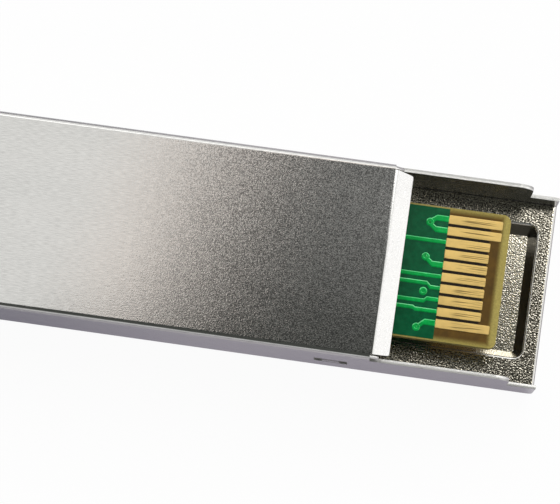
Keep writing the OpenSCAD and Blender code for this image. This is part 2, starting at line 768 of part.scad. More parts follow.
// The plate that drops over both necks and keeps the barrels seated in the nose.
module osa_retainer() {
    slot_w = neck_d + 2 * barrel_fit;
    half = trough_half - barrel_fit;
    top = wall_top - retainer_top;
    color("#3a3a3c") difference() {
        span([x_retainer, -half, base_t], [x_retainer + retainer_t, half, top]);
        for (s = [-1, 1]) {
            rod_x(x_retainer - eps, x_holder, s * axis_y, axis_z, slot_w);
            span([x_retainer - eps, s * axis_y - slot_w / 2, 0], [x_holder, s * axis_y + slot_w / 2, axis_z]);
        }
    }
}

// A chip centred at a place, on the board's upper or lower face.
module chip(x, y, l, w, up) {
    z = up ? board_top : board_under - chip_t;
    span([x - l / 2, y - w / 2, z], [x + l / 2, y + w / 2, z + chip_t]);
}

module laser_driver_chip() { color("#26272a") chip(x_driver, y_driver, chip_w, chip_w, false); }
module receiver_chip() { color("#26272a") chip(x_driver, y_receiver, small_chip_w, small_chip_w, false); }
module controller_chip() { color("#26272a") chip(x_controller, 0, chip_w, chip_w, true); }
module memory_chip() { color("#26272a") chip(x_memory, axis_y, memory_len, memory_w, true); }

module power_inductors() {
    color("#4a4744") for (s = [-1, 1]) translate([x_inductor, s * axis_y, board_top])
        translate([-inductor_len / 2, -inductor_w / 2, 0]) cube([inductor_len, inductor_w, inductor_h]);
}

// A row of small two-ended components along the board.
module passive_row(x, y, count, h) {
    for (i = [0:count - 1])
        span([x + i * passive_pitch, y - passive_w / 2, board_top],
            [x + i * passive_pitch + passive_len, y + passive_w / 2, board_top + h]);
}

module bypass_capacitors() {
    color("#b08d63") for (s = [-1, 1])
        passive_row(x_passives, s * y_capacitors, capacitor_count, capacitor_h);
}

module resistors() {
    color("#1d1d1f") for (s = [-1, 1])
        passive_row(x_passives, s * y_resistors, resistor_count, resistor_h);
}

module thermal_pad() {
    half = chip_w / 2 - thermal_inset;
    color("#7fa3b5") span([x_driver - half, y_driver - half, pedestal_h],
        [x_driver + half, y_driver + half, pedestal_h + thermal_t]);
}

// The spring collar around the nose: a band on the hood face, bowed fingers on the other three.
module emi_collar() {
    side_y = nose_w / 2 - collar_recess + collar_fit;
    top_z = nose_h - collar_recess + collar_fit;
    x0 = x_stop + collar_fit + collar_t;
    x1 = x_stop + collar_len;
    foot_z = collar_recess - collar_fit - collar_t;
    inner = slot_half + lever_gap;
    color("#c9b98d") {
        span([x1 - collar_band, -side_y - collar_t, foot_z], [x1, side_y + collar_t, foot_z + collar_t]);
        for (s = [-1, 1]) {
            y0 = s > 0 ? side_y : -side_y - collar_t;
            span([x1 - collar_band, y0, foot_z], [x1, y0 + collar_t, top_z + collar_t]);
            side_fingers(s, side_y, x0, x1 - collar_band + eps, top_z);
            t0 = s > 0 ? inner : -side_y - collar_t;
            t1 = s > 0 ? side_y + collar_t : -inner;
            span([x1 - collar_band, t0, top_z], [x1, t1, top_z + collar_t]);
            top_fingers(t0, t1, x0, x1 - collar_band + eps, top_z);
        }
    }
}

// A bowed strip between two places, drawn as the lens between two arcs.
module finger_2d(x0, x1) {
    half = (x1 - x0) / 2;
    r = (half * half + collar_bow * collar_bow) / (2 * collar_bow);
    a = asin(half / r);
    c = [x0 + half, collar_bow - r];
    polygon(concat(arc(c, r + collar_t, 90 + a, 90 - a, 10), arc(c, r, 90 - a, 90 + a, 10)));
}

module side_fingers(s, y, x0, x1, top) {
    pitch = (top - finger_foot - finger_gap) / finger_count;
    width = pitch - finger_gap;
    for (i = [0:finger_count - 1]) translate([0, s * y, finger_foot + i * pitch])
        rotate([s > 0 ? 0 : 180, 0, 0]) translate([0, 0, s > 0 ? 0 : -width])
            linear_extrude(width) finger_2d(x0, x1);
}

module top_fingers(y0, y1, x0, x1, z) {
    pitch = (y1 - y0 + finger_gap) / finger_count;
    for (i = [0:finger_count - 1]) translate([0, 0, z])
        along_y(y0 + i * pitch, y0 + (i + 1) * pitch - finger_gap) finger_2d(x0, x1);
}

// The bail: two bent side arms with eyes for the shaft, and a bar across the front.
module bail() {
    color("#9b9a98") {
        for (s = [-1, 1]) {
            y0 = s > 0 ? arm_y : -bail_half;
            difference() {
                along_y(y0, y0 + bail_arm_t) {
                    translate([x_shaft, z_shaft]) circle(bail_eye_r);
                    bar_2d([x_shaft, z_shaft], [x_bar, bail_bend_z], bail_d);
                    bar_2d([x_bar, bail_bend_z], [x_bar, z_bar], bail_d);
                }
                rod_y(-far, far, x_shaft, z_shaft, shaft_d);
            }
        }
        rod_y(-arm_y - eps, arm_y + eps, x_bar, z_bar, bail_d);
    }
}

// The shaft that turns with the bail, and the cam that lifts the lever's front arm.
module bail_shaft() {
    spiral = [for (i = [0:9]) let (a = 90 + 10 * i, r = shaft_d / 2 + cam_rise * i / 9) r * [cos(a), sin(a)]];
    color("#8a8987") {
        rod_y(-bail_half, bail_half, x_shaft, z_shaft, shaft_d);
        translate([x_shaft, 0, z_shaft]) along_y(-lever_w / 2, lever_w / 2)
            polygon(concat(spiral, arc([0, 0], shaft_d / 2, 200, 270, 4), [[0, 0]]));
    }
}

// The rocking latch lever: boss at the rear, hub on the pin, front arm over the cam.
module latch_lever() {
    front_end = x_shaft - shaft_d / 2;
    color("#a3a19d") along_y(-lever_w / 2, lever_w / 2) difference() {
        union() {
            translate([x_pivot, z_pivot]) circle(d = hub_d);
            polygon([[x_pivot, lever_under], [x_lever_end, lever_under], [x_lever_end, lever_top],
                [x_shoulder + boss_flat, boss_top], [x_shoulder, boss_top], [x_shoulder, lever_top],
                [x_pivot, lever_top]]);
            translate([front_end, front_arm_z]) square([x_pivot - front_end, front_arm_t]);
            translate([x_pivot - hub_d / 2, z_pivot])
                square([hub_d / 2, front_arm_z + front_arm_t - z_pivot]);
        }
        translate([x_pivot, z_pivot]) circle(pin_d / 2 + pin_fit);
    }
}

module lever_pin_rod() {
    half = stop_w / 2 - pin_inset;
    rod_y(-half, half, x_pivot, z_pivot, pin_d);
}

module lever_pin() {
    color("#7d7c7a") lever_pin_rod();
}

// The leaf spring under the lever's rear arm.
module latch_spring() {
    x0 = x_slot_deep + lever_gap;
    x1 = x_lever_end - lever_gap;
    knee = x0 + leaf_foot;
    z0 = slot_deep;
    z1 = lever_under - leaf_gap - leaf_t;
    color("#c2c0bc") along_y(-leaf_w / 2, leaf_w / 2) polygon([[x0, z0], [knee, z0], [x1 - leaf_t, z1],
        [x1, z1], [x1, z1 + leaf_t], [x1 - 2 * leaf_t, z1 + leaf_t], [knee - leaf_t / 2, z0 + leaf_t],
        [x0, z0 + leaf_t]]);
}

base_housing();
cover();
circuit_board();
edge_contacts_open_side();
edge_contacts_hood_side();
tosa_barrel();
tosa_sleeve();
tosa_can();
tosa_flex();
rosa_barrel();
rosa_sleeve();
rosa_can();
rosa_flex();
osa_retainer();
laser_driver_chip();
receiver_chip();
controller_chip();
memory_chip();
power_inductors();
bypass_capacitors();
resistors();
thermal_pad();
emi_collar();
bail();
bail_shaft();
latch_lever();
lever_pin();
latch_spring();
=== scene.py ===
import math

import bmesh
import bpy
from bpy.props import FloatProperty, FloatVectorProperty, IntProperty, PointerProperty
from mathutils import Matrix, Vector


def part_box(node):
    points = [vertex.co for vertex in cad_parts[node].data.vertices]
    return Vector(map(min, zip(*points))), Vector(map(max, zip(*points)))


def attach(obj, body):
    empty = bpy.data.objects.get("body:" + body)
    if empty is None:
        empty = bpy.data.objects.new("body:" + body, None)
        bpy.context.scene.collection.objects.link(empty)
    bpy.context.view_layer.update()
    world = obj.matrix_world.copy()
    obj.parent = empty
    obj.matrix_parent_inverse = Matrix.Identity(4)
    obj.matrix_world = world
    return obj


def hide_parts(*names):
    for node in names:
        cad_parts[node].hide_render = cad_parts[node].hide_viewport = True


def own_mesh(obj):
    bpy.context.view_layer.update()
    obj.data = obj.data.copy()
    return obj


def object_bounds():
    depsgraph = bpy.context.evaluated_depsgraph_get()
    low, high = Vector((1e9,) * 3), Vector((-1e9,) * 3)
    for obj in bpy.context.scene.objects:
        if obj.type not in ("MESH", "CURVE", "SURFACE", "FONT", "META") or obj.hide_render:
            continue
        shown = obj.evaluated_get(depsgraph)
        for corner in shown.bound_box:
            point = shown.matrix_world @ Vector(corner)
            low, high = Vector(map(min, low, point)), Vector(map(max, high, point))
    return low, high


bl_info = {
    "name": "Optical Transceiver Module",
    "version": (1, 0, 0),
    "blender": (4, 5, 0),
    "location": "View3D > Sidebar > Transceiver",
    "description": "Dresses the packed transceiver module: cover, casting, board, latch and stage",
    "category": "Object",
}

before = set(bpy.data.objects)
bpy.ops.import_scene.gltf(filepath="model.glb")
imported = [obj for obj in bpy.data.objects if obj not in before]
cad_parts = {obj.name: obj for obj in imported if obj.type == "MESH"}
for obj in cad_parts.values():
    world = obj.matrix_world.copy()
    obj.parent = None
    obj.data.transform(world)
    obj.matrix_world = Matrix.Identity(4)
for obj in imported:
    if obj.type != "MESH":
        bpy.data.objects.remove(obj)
CAD_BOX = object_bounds()

MM = 0.001
# Two places closer than this are the same place.
TOUCH = 1e-6

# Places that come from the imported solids.
COVER_LOW, COVER_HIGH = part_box("cover")
BOARD_LOW, BOARD_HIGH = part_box("circuit_board")
CONTACT_LOW, CONTACT_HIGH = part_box("edge_contacts_open_side")
UNDER_LOW, UNDER_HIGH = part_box("edge_contacts_hood_side")

# The step of a trace that runs on under the cover, in millimetres.
HIDDEN = -4.5
# Traces behind the contacts of the open side: contact, width, steps along and across in millimetres.
TRACES = (
    (1, "supply_width", ((-0.75, 0.0), (-0.5, -0.35))),
    (2, "supply_width", ((-0.75, 0.0), (-0.5, 0.4))),
    (3, "trace_width", ((HIDDEN, 0.0),)),
    (5, "supply_width", ((-0.7, 0.0), (-0.5, 0.42))),
    (6, "trace_width", ((HIDDEN, 0.0),)),
    (7, "trace_width", ((-0.6, 0.0), (-0.25, 0.25), (HIDDEN, 0.0))),
    (8, "trace_width", ((-0.75, 0.0), (-0.18, -0.18), (HIDDEN, 0.0))),
    (9, "trace_width", ((-1.45, 0.0), (-0.12, 0.1), (HIDDEN, 0.0))),
    (10, "supply_width", ((-0.7, 0.0), (-0.48, -0.44))),
)
# Vias: nearest contact, and place along and across from it in millimetres.
VIAS = ((1, -1.25, -0.35), (5, -1.25, 0.44), (7, -1.1, -0.34), (10, -1.25, -0.42))

# Steps of the sheet's folds: a quarter turn at the sides, an eighth at the lip.
FOLD_STEPS = 8
LIP_STEPS = 6

# Most values of a noise lie between these two.
NOISE = (0.3, 0.7)
# A texture that is stretched along no axis.
EVEN = (1.0, 1.0, 1.0)
WHITE = (1.0, 1.0, 1.0)

# The camera's place and its turn about the three axes, fitted to the photograph.
CAMERA_PLACE = (18.782 * MM, -21.020 * MM, 152.731 * MM)
CAMERA_TURN = (0.14892, 0.03663, 0.14379)
# The floor is a square that lies just under the module.
FLOOR_HALF = 1.5
FLOOR_LEVEL = -0.02 * MM
# The floor's glow where the module mirrors it, a painted reflection, from the front of the module to its
# rear.
PAINTED_FLOOR_REFLECTION = ((0.22, 0.2, 0.28), (0.4, 0.36, 0.45))
# The room's tint, from the horizon to overhead.
ROOM_TINTS = ((0.36, 0.36, 0.38), (0.085, 0.09, 0.084))
# The slanted bank of softboxes on the left, whose ends are measured along its inner edge. The warm one
# stops short. Each has a name, a start from the inner edge, a width, a near end, a brightness and a tint.
# Lengths of the lamps are in metres.
BANK_FAR = 0.4
BANK_NEAR = -0.2
LEFT_BANK = (
    ("warm_edge", 0.0, 0.034, -0.05, 1.06, (1.0, 0.91, 0.86)),
    ("left_softbox", 0.034, 0.14, BANK_NEAR, 0.975, WHITE),
    ("left_wing", 0.174, 0.6, BANK_NEAR, 1.42, WHITE),
)
# The other softboxes: name, place and size in metres, turn in degrees, brightness.
SOFTBOXES = (
    ("right_softbox", (0.255, 0.53, 0.6), (0.4, 0.83), (0.0, 0.0, 0.0), 2.6),
    ("overhead_fill", (0.02, 0.16, 0.62), (0.1, 0.17), (0.0, 0.0, 0.0), 0.215),
    ("right_wall", (0.47, 0.1, 0.28), (0.66, 0.9), (0.0, 90.0, 0.0), 1.23),
    ("far_strip", (-0.1, 0.46, 0.36), (1.0, 0.5), (-52.0, 0.0, 0.0), 1.05),
    ("near_strip", (0.0, -0.5, 0.2), (0.9, 0.3), (68.0, 0.0, 0.0), 0.45),
)


def length(name, description, millimetres):
    """A size that a user can change, given in millimetres and kept in metres."""
    return FloatProperty(name=name, description=description, default=millimetres * MM, min=0.0,
                         precision=5, unit="LENGTH")


def srgb(red, green, blue):
    """Linear colour of a display colour that is given from 0 to 255."""
    def linear(value):
        share = value / 255
        return share / 12.92 if share <= 0.04045 else ((share + 0.055) / 1.055) ** 2.4
    return (linear(red), linear(green), linear(blue))


def colour(name, description, red, green, blue):
    """A colour that a user can change, given as it looks on a display."""
    return FloatVectorProperty(name=name, description=description, default=srgb(red, green, blue),
                               min=0.0, max=1.0, size=3, subtype="COLOR")


class CoverSizes(bpy.types.PropertyGroup):
    """Sizes of the folded sheet cover."""
    sheet: length("Sheet", "Thickness of the sheet", 0.27)
    bend: length("Bend radius", "Outer radius of the folds", 0.4)
    opening: length("Opening", "Rear end to the lower edge of the lip", 10.2)
    lip_drop: length("Lip drop", "Drop of the slanted lip", 1.1)
    lip_taper: length("Lip taper", "How much each side of the lip draws in", 0.12)
    lip_corner: length("Lip corner", "Radius of the lip's lower corners", 0.15)
    lip_tab: length("Lip tab", "Length of the small tabs beside the lip", 0.6)
    low_wall_length: length("Low wall length", "Length of the low stretch of side wall", 2.0)
    low_wall_height: length("Low wall height", "Height of the low stretch of side wall", 4.1)
    wall_corner: length("Wall corner", "Radius where the tall side wall comes down", 1.0)
    foot_corner: length("Foot corner", "Radius of the side wall's lower rear corner", 0.5)
    window_width: length("Window width", "Width of a snap window", 2.3)
    window_height: length("Window height", "Height of a snap window", 1.8)
    window_level: length("Window level", "Height of the windows' middle", 3.8)
    window_rear: length("Rear window", "Rear end to the middle of the rear windows", 14.15)
    window_front: length("Front window", "Front edge to the middle of the front windows", 2.2)
    edge: length("Edge rounding", "Rounding of the sheet's cut edges", 0.03)


class CastingSizes(bpy.types.PropertyGroup):
    """Sizes of the cast housing's rear floor and of its rounded rims."""
    floor_level: length("Floor level", "Height of the rear floor", 2.2)
    floor_length: length("Floor length", "Rear end to the start of the rear floor", 12.6)
    pocket_rear: length("Pocket end", "Rear end to the pocket", 1.1)
    pocket_length: length("Pocket length", "Length of the pocket", 10.0)
    pocket_width: length("Pocket width", "Width of the pocket", 9.4)
    pocket_shift: length("Pocket shift", "How far the pocket sits off the middle", 0.15)
    rim: length("Pocket rim", "Rounding of the pocket's rim", 0.12)
    edge: length("Edge rounding", "Rounding of the other edges", 0.08)


class BoardSizes(bpy.types.PropertyGroup):
    """Sizes of the printed detail on the circuit board."""
    card_start: length("Card edge", "Length of the card edge", 10.3)
    card_width: length("Card width", "Width of the card edge", 9.2)
    mask_film: length("Mask film", "Thickness of the solder mask", 0.02)
    mask_margin: length("Mask margin", "Bare strip along the board's sides", 0.1)
    trace_height: length("Trace height", "How far a covered trace stands up", 0.035)
    trace_width: length("Trace width", "Width of a signal trace", 0.28)
    supply_width: length("Supply width", "Width of a supply or ground trace", 0.4)
    via_size: length("Via", "Diameter of a via's ring", 0.56)
    via_hole: length("Via hole", "Diameter of a via's hole", 0.24)
    slope: length("Trace slope", "Width of the slope along a covered trace or via", 0.06)
    pitch: length("Contact pitch", "Spacing of the contacts", 0.8)
    contact_width: length("Contact width", "Width of a contact", 0.61)
    short_gap: length("Short contacts", "How much further back the short contacts end", 0.67)
    contact_edge: length("Contact edge", "Rounding of a contact's edges", 0.03)
    contact_corner: length("Contact corner", "Radius of a contact's corners", 0.08)
    row_offset: length("Row offset", "Sideways offset of each row of contacts", 0.2)
    contact_count: IntProperty(name="Contacts", description="Contacts in each row", default=10, min=1)


class EdgeSizes(bpy.types.PropertyGroup):
    """Rounding of the edges of the turned, bent and moulded pieces."""
    latch: length("Latch", "Rounding of the latch lever's edges", 0.04)
    bail: length("Bail", "Rounding of the bail's edges", 0.08)
    leaf: length("Leaf spring", "Rounding of the leaf spring's edges", 0.02)
    turned: length("Turned parts", "Rounding of the turned parts' edges", 0.04)
    moulded: length("Moulded parts", "Rounding of the chips and moulded parts", 0.05)


class FinishColours(bpy.types.PropertyGroup):
    """Colours of the surfaces."""
    nickel: colour("Nickel", "Plated sheet of the cover", 207, 206, 203)
    sheared: colour("Sheared edge", "Cut edges of the sheet", 226, 225, 221)
    casting: colour("Casting", "Coarse plated floor of the casting", 210, 204, 188)
    # Partly painted light: the pocket floor is lighter than the rear floor to stand in for the brighter
    # light it mirrors; its finer grain is its own.
    pocket_casting_painted_lighter: colour("Casting pocket", "Finer plated floor of the pocket", 236, 230, 214)
    casting_skin: colour("Casting skin", "Smoother plated skin of the casting", 202, 200, 195)
    gold: colour("Gold", "Plated contacts", 223, 191, 118)
    mask: colour("Mask", "Solder mask over bare laminate", 0, 84, 49)
    trace: colour("Trace", "Solder mask over copper", 0, 160, 70)
    # Painted highlight: a lighter mask colour on the traces' slopes that face the far side.
    trace_far_edge_highlight: colour("Trace edge", "Solder mask where it thins over a trace's edge", 70, 205, 120)
    laminate: colour("Laminate", "Bare laminate over an inner plane", 88, 63, 12)
    laminate_edge: colour("Laminate edge", "Bare laminate that light shines through", 166, 151, 78)
    steel: colour("Steel", "Bail, shaft and pins", 196, 195, 192)
    spring: colour("Spring", "Collar and springs", 212, 204, 178)
    ceramic: colour("Ceramic", "Ferrule sleeves", 236, 233, 222)
    film: colour("Film", "Flexible circuits", 176, 104, 34)
    chip: colour("Chip", "Moulded chips", 40, 41, 44)
    plastic: colour("Plastic", "Retainer plate", 58, 58, 61)
    ferrite: colour("Ferrite", "Power inductors", 84, 79, 75)
    capacitor: colour("Capacitor", "Small capacitors", 182, 146, 102)
    resistor: colour("Resistor", "Small resistors", 36, 36, 39)
    pad: colour("Thermal pad", "Soft pad under the driver chip", 136, 170, 186)


class StageSettings(bpy.types.PropertyGroup):
    """Camera, lamps and floor."""
    focal: FloatProperty(name="Focal length", description="Focal length on a 36 mm wide sensor, in mm",
                         default=139.65, min=10.0)
    camera_place: FloatVectorProperty(name="Camera", description="Place of the camera", size=3,
                                      unit="LENGTH", default=CAMERA_PLACE, precision=5)
    camera_turn: FloatVectorProperty(name="Camera turn", description="Turn of the camera", size=3,
                                     subtype="EULER", default=CAMERA_TURN)
    bank_edge: FloatVectorProperty(name="Bank edge", description="Inner edge of the left softboxes",
                                   size=3, unit="LENGTH", default=(-0.0455, 0.088, 0.6))
    bank_slant: FloatProperty(name="Bank slant", description="Turn of the left bank of softboxes",
                              default=math.radians(-17), subtype="ANGLE")
    floor: colour("Floor", "Paper that the module lies on", 240, 240, 239)


def settings(name):
    """One of the registered groups of sizes and colours."""
    return getattr(bpy.context.scene, name)


# Selection and modelling helpers

def only(piece):
    """Makes a piece the only selected one and the active one."""
    if bpy.context.mode != "OBJECT":
        bpy.ops.object.mode_set(mode="OBJECT")
    bpy.ops.object.select_all(action="DESELECT")
    if piece:
        piece.select_set(True)
        bpy.context.view_layer.objects.active = piece


def edit(piece):
    """Opens a piece in edit mode."""
    only(piece)
    bpy.ops.object.mode_set(mode="EDIT")


def done():
    """Goes back to object mode and gives the edited piece."""
    bpy.ops.object.mode_set(mode="OBJECT")
    return bpy.context.view_layer.objects.active


def near(a, b):
    return abs(a - b) < TOUCH


def at(x=None, y=None, z=None, side=None):
    """A test that is true where all points lie at the given places; side is how far off the middle."""
    def test(points):
        return all((x is None or near(p.x, x)) and (y is None or near(p.y, y))
                   and (z is None or near(p.z, z)) and (side is None or near(abs(p.y), side))
                   for p in points)
    return test


def inside(x=None, y=None, z=None, side=None):
    """A test that is true where the middle of the points lies between the given pairs of places."""
    def between(value, pair):
        return pair is None or pair[0] - TOUCH < value < pair[1] + TOUCH

    def test(points):
        middle = sum(points, Vector()) / len(points)
        return (between(middle.x, x) and between(middle.y, y) and between(middle.z, z)
                and between(abs(middle.y), side))
    return test


def both(first, second):
    """A test that is true where two tests are."""
    return lambda points: first(points) and second(points)


def pick(kind, test):
    """Selects the vertices, edges or faces of the edited mesh whose points pass a test."""
    bpy.ops.mesh.select_mode(type=kind)
    bpy.ops.mesh.select_all(action="DESELECT")
    data = bpy.context.edit_object.data
    mesh = bmesh.from_edit_mesh(data)
    items = {"VERT": mesh.verts, "EDGE": mesh.edges, "FACE": mesh.faces}[kind]
    found = [item for item in items
             if test([item.co] if kind == "VERT" else [v.co for v in item.verts])]
    if not found:
        raise RuntimeError("nothing to select on " + bpy.context.edit_object.name)
    for item in found:
        item.select_set(True)
    bmesh.update_edit_mesh(data)


def extrude(x=0.0, y=0.0, z=0.0):
    bpy.ops.mesh.extrude_region_move(TRANSFORM_OT_translate={"value": (x, y, z)})


def cut(point, normal):
    """Cuts the selected faces along a plane and keeps both parts."""
    bpy.ops.mesh.bisect(plane_co=point, plane_no=normal, use_fill=False)


def round_corners(radius, segments=6):
    """Rounds the selected corner points of a flat sheet."""
    bpy.ops.mesh.bevel(offset=radius, segments=segments, affect="VERTICES", clamp_overlap=False)


def bevel_edges(radius, segments=2):
    bpy.ops.mesh.bevel(offset=radius, segments=segments, affect="EDGES", clamp_overlap=False)


def face_outwards():
    bpy.ops.mesh.select_all(action="SELECT")
    bpy.ops.mesh.normals_make_consistent(inside=False)


def apply_modifier(piece, kind, **values):
    """Adds a modifier, sets it and applies it."""
    only(piece)
    modifier = piece.modifiers.new(kind.title(), kind)
    for key, value in values.items():
        setattr(modifier, key, value)
    bpy.ops.object.modifier_apply(modifier=modifier.name)


def round_edges(piece, radius, segments=2, angle=40.0):
    """Rounds every edge that is sharper than an angle."""
    apply_modifier(piece, "BEVEL", width=radius, segments=segments, limit_method="ANGLE",
                   angle_limit=math.radians(angle), use_clamp_overlap=True)


def smooth(piece, angle=35.0):
    """Smooths the rounded stretches and keeps the flat faces flat."""
    only(piece)
    bpy.ops.object.shade_smooth_by_angle(angle=math.radians(angle))
    apply_modifier(piece, "WEIGHTED_NORMAL", mode="FACE_AREA", weight=100, keep_sharp=True)


def sheet(name, low, high, level):
    """A flat rectangle between two corners, at a height, as the start of a piece."""
    only(None)
    middle = ((low[0] + high[0]) / 2, (low[1] + high[1]) / 2, level)
    bpy.ops.mesh.primitive_plane_add(size=1.0, location=middle)
    piece = bpy.context.object
    piece.name = name
    piece.data.name = name
    piece.scale = (high[0] - low[0], high[1] - low[1], 1.0)
    bpy.ops.object.transform_apply(location=True, rotation=True, scale=True)
    return piece


def disc(name, x, y, level, diameter, sides=24):
    """A flat disc as the start of a piece."""
    only(None)
    bpy.ops.mesh.primitive_circle_add(vertices=sides, radius=diameter / 2, fill_type="NGON",
                                      location=(x, y, level))
    piece = bpy.context.object
    piece.name = name
    piece.data.name = name
    bpy.ops.object.transform_apply(location=True, rotation=True, scale=True)
    return piece


def join(pieces, name):
    """Joins pieces into the first one."""
    only(pieces[0])
    for piece in pieces:
        piece.select_set(True)
    bpy.ops.object.join()
    pieces[0].name = name
    pieces[0].data.name = name
    return pieces[0]


def spread(pattern, places, name):
    """Copies a piece, mesh and all, to each place along and across, and joins the copies."""
    copies = []
    for x, y in places:
        only(pattern)
        bpy.ops.object.duplicate(linked=False)
        bpy.ops.transform.translate(value=(x, y, 0.0))
        bpy.ops.object.transform_apply(location=True, rotation=True, scale=True)
        copies.append(bpy.context.object)
    bpy.data.objects.remove(pattern)
    return join(copies, name)


def merged_copy(node, name):
    """A copy of a solid with its loose triangles merged, to be refined."""
    mesh = bpy.data.objects[node].data.copy()
    mesh.name = name
    mesh.materials.clear()
    piece = bpy.data.objects.new(name, mesh)
    bpy.context.collection.objects.link(piece)
    edit(piece)
    bpy.ops.mesh.select_all(action="SELECT")
    bpy.ops.mesh.remove_doubles(threshold=TOUCH)
    bpy.ops.mesh.dissolve_limited(angle_limit=math.radians(0.4))
    done()
    return piece


def refined_copy(node, name, radius):
    """A merged copy of a solid with its edges rounded."""
    piece = merged_copy(node, name)
    round_edges(piece, radius)
    smooth(piece)
    return piece


def fasten(piece, body, slot, material, *nodes):
    """Gives a piece its finish and its body, and hides the solids it stands for; the slot is not used."""
    if material:
        piece.data.materials.clear()
        piece.data.materials.append(material)
    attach(piece, body)
    if nodes:
        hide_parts(*nodes)


def paint_node(node, material):
    """Gives a solid that stays as it is its finish."""
    data = bpy.data.objects[node].data
    data.materials.clear()
    data.materials.append(material)


# Material helpers

def finish(name, base, metallic, roughness):
    """A new material, its node tree and its shader."""
    material = bpy.data.materials.new(name)
    material.use_nodes = True
    tree = material.node_tree
    shader = tree.nodes["Principled BSDF"]
    shader.inputs["Base Color"].default_value = (*base, 1.0)
    shader.inputs["Metallic"].default_value = metallic
    shader.inputs["Roughness"].default_value = roughness
    return material, tree, shader


def node(tree, kind, links=None, **values):
    """A node with its settings, its socket values and its incoming links."""
    item = tree.nodes.new(kind)
    for key, value in values.items():
        if key in item.inputs:
            item.inputs[key].default_value = value
        else:
            setattr(item, key, value)
    for key, socket in (links or {}).items():
        tree.links.new(socket, item.inputs[key])
    return item


def place(tree, stretch):
    """Object coordinates, stretched along the axes."""
    source = node(tree, "ShaderNodeTexCoord")
    mapped = node(tree, "ShaderNodeMapping", {"Vector": source.outputs["Object"]}, Scale=stretch)
    return mapped.outputs["Vector"]


def axes(tree):
    """Object coordinates as three separate values."""
    source = node(tree, "ShaderNodeTexCoord")
    return node(tree, "ShaderNodeSeparateXYZ", {"Vector": source.outputs["Object"]}).outputs


def grain(tree, size, detail, stretch=EVEN, roughness=0.6):
    """Noise whose patches are about one size across; a stretch under 1 draws them out along an axis."""
    return node(tree, "ShaderNodeTexNoise", {"Vector": place(tree, stretch)}, Scale=1.0 / size,
                Detail=detail, Roughness=roughness).outputs["Fac"]


def cloudy(tree, size, stretch=EVEN):
    """Soft patches of an uneven colour."""
    return grain(tree, size, detail=4.0, stretch=stretch)


def math_node(tree, operation, first, second=0.0):
    item = node(tree, "ShaderNodeMath", operation=operation)
    for index, value in enumerate((first, second)):
        if isinstance(value, (int, float)):
            item.inputs[index].default_value = value
        else:
            tree.links.new(value, item.inputs[index])
    return item.outputs[0]


def span(tree, value, low, high, to_low=0.0, to_high=1.0):
    """Maps a value smoothly from one range onto another."""
    item = node(tree, "ShaderNodeMapRange", {"Value": value}, interpolation_type="SMOOTHSTEP")
    for key, number in (("From Min", low), ("From Max", high), ("To Min", to_low), ("To Max", to_high)):
        item.inputs[key].default_value = number
    return item.outputs["Result"]


def mixed(tree, factor, first, second):
    """Two colours or colour sockets, mixed by a value."""
    item = node(tree, "ShaderNodeMix", data_type="RGBA")
    tree.links.new(factor, item.inputs[0])
    for index, value in ((6, first), (7, second)):
        if hasattr(value, "node"):
            tree.links.new(value, item.inputs[index])
        else:
            item.inputs[index].default_value = (*value, 1.0)
    return item.outputs[2]


def multiplied(tree, first, second):
    """Two colour sockets, multiplied."""
    item = node(tree, "ShaderNodeMix", data_type="RGBA", blend_type="MULTIPLY")
    item.inputs[0].default_value = 1.0
    tree.links.new(first, item.inputs[6])
    tree.links.new(second, item.inputs[7])
    return item.outputs[2]


def shade(base, share):
    """A lighter or darker version of a colour."""
    return tuple(min(1.0, value * share) for value in base)


def feed(tree, shader, tint, roughness=None):
    """Links a colour socket to a shader, and a roughness socket if there is one."""
    tree.links.new(tint, shader.inputs["Base Color"])
    if roughness is not None:
        tree.links.new(roughness, shader.inputs["Roughness"])


def relief(tree, shader, height, depth):
    """Bump from a height value and the depth that it stands for."""
    bump = node(tree, "ShaderNodeBump", {"Height": height}, Strength=1.0, Distance=depth)
    tree.links.new(bump.outputs["Normal"], shader.inputs["Normal"])


# Finishes

def nickel_sheet():
    """Satin nickel on rolled sheet: streaks along the module, and a fine grain on the level face."""
    base = settings("finish_colours").nickel
    sizes = settings("cover_sizes")
    material, tree, shader = finish("satin_nickel_sheet", base, metallic=1.0, roughness=0.12)
    spot = axes(tree)
    marks = grain(tree, 0.06 * MM, detail=0.0)
    specks = grain(tree, 0.075 * MM, detail=1.0, roughness=0.5)
    streaks = grain(tree, 0.045 * MM, detail=0.0, stretch=(0.09, 1.0, 1.0))
    clouds = cloudy(tree, 4.0 * MM, (0.4, 1.0, 1.0))
    rolled = math_node(tree, "ADD", math_node(tree, "MULTIPLY", streaks, 0.7),
                       math_node(tree, "MULTIPLY", clouds, 0.3))
    tint = mixed(tree, span(tree, rolled, *NOISE), shade(base, 0.88), shade(base, 1.06))
    # The grain covers the level face only, and grows coarser and rougher towards the rear.
    lip = COVER_HIGH.x - sizes.opening - 1.2 * MM
    fold = COVER_HIGH.y - sizes.bend
    aside = math_node(tree, "ABSOLUTE", spot["Y"])
    level = math_node(tree, "MULTIPLY", span(tree, spot["X"], lip, lip - 0.1 * MM),
                      span(tree, aside, fold + 0.05 * MM, fold))
    coarser = math_node(tree, "MULTIPLY", level, span(tree, spot["X"], -2.0 * MM, 9.0 * MM))
    rougher = math_node(tree, "MULTIPLY", level, span(tree, spot["X"], -8.0 * MM, 7.0 * MM, 0.25, 1.0))
    dull = math_node(tree, "MULTIPLY", coarser, span(tree, specks, 0.6, 0.35))
    speck = mixed(tree, dull, WHITE, shade(WHITE, 0.35))
    feed(tree, shader, multiplied(tree, tint, speck), span(tree, clouds, *NOISE, 0.085, 0.105))
    relief(tree, shader, math_node(tree, "MULTIPLY", marks, rougher), 0.0026 * MM)
    return material


def sheet_inside():
    """The inner face of the sheet, smooth from rolling."""
    base = shade(settings("finish_colours").nickel, 0.85)
    return worked_metal("rolled_sheet_inside", base, roughness=0.2, mark=0.3 * MM, depth=0.0015 * MM,
                        stretch=(0.3, 1.0, 0.15))


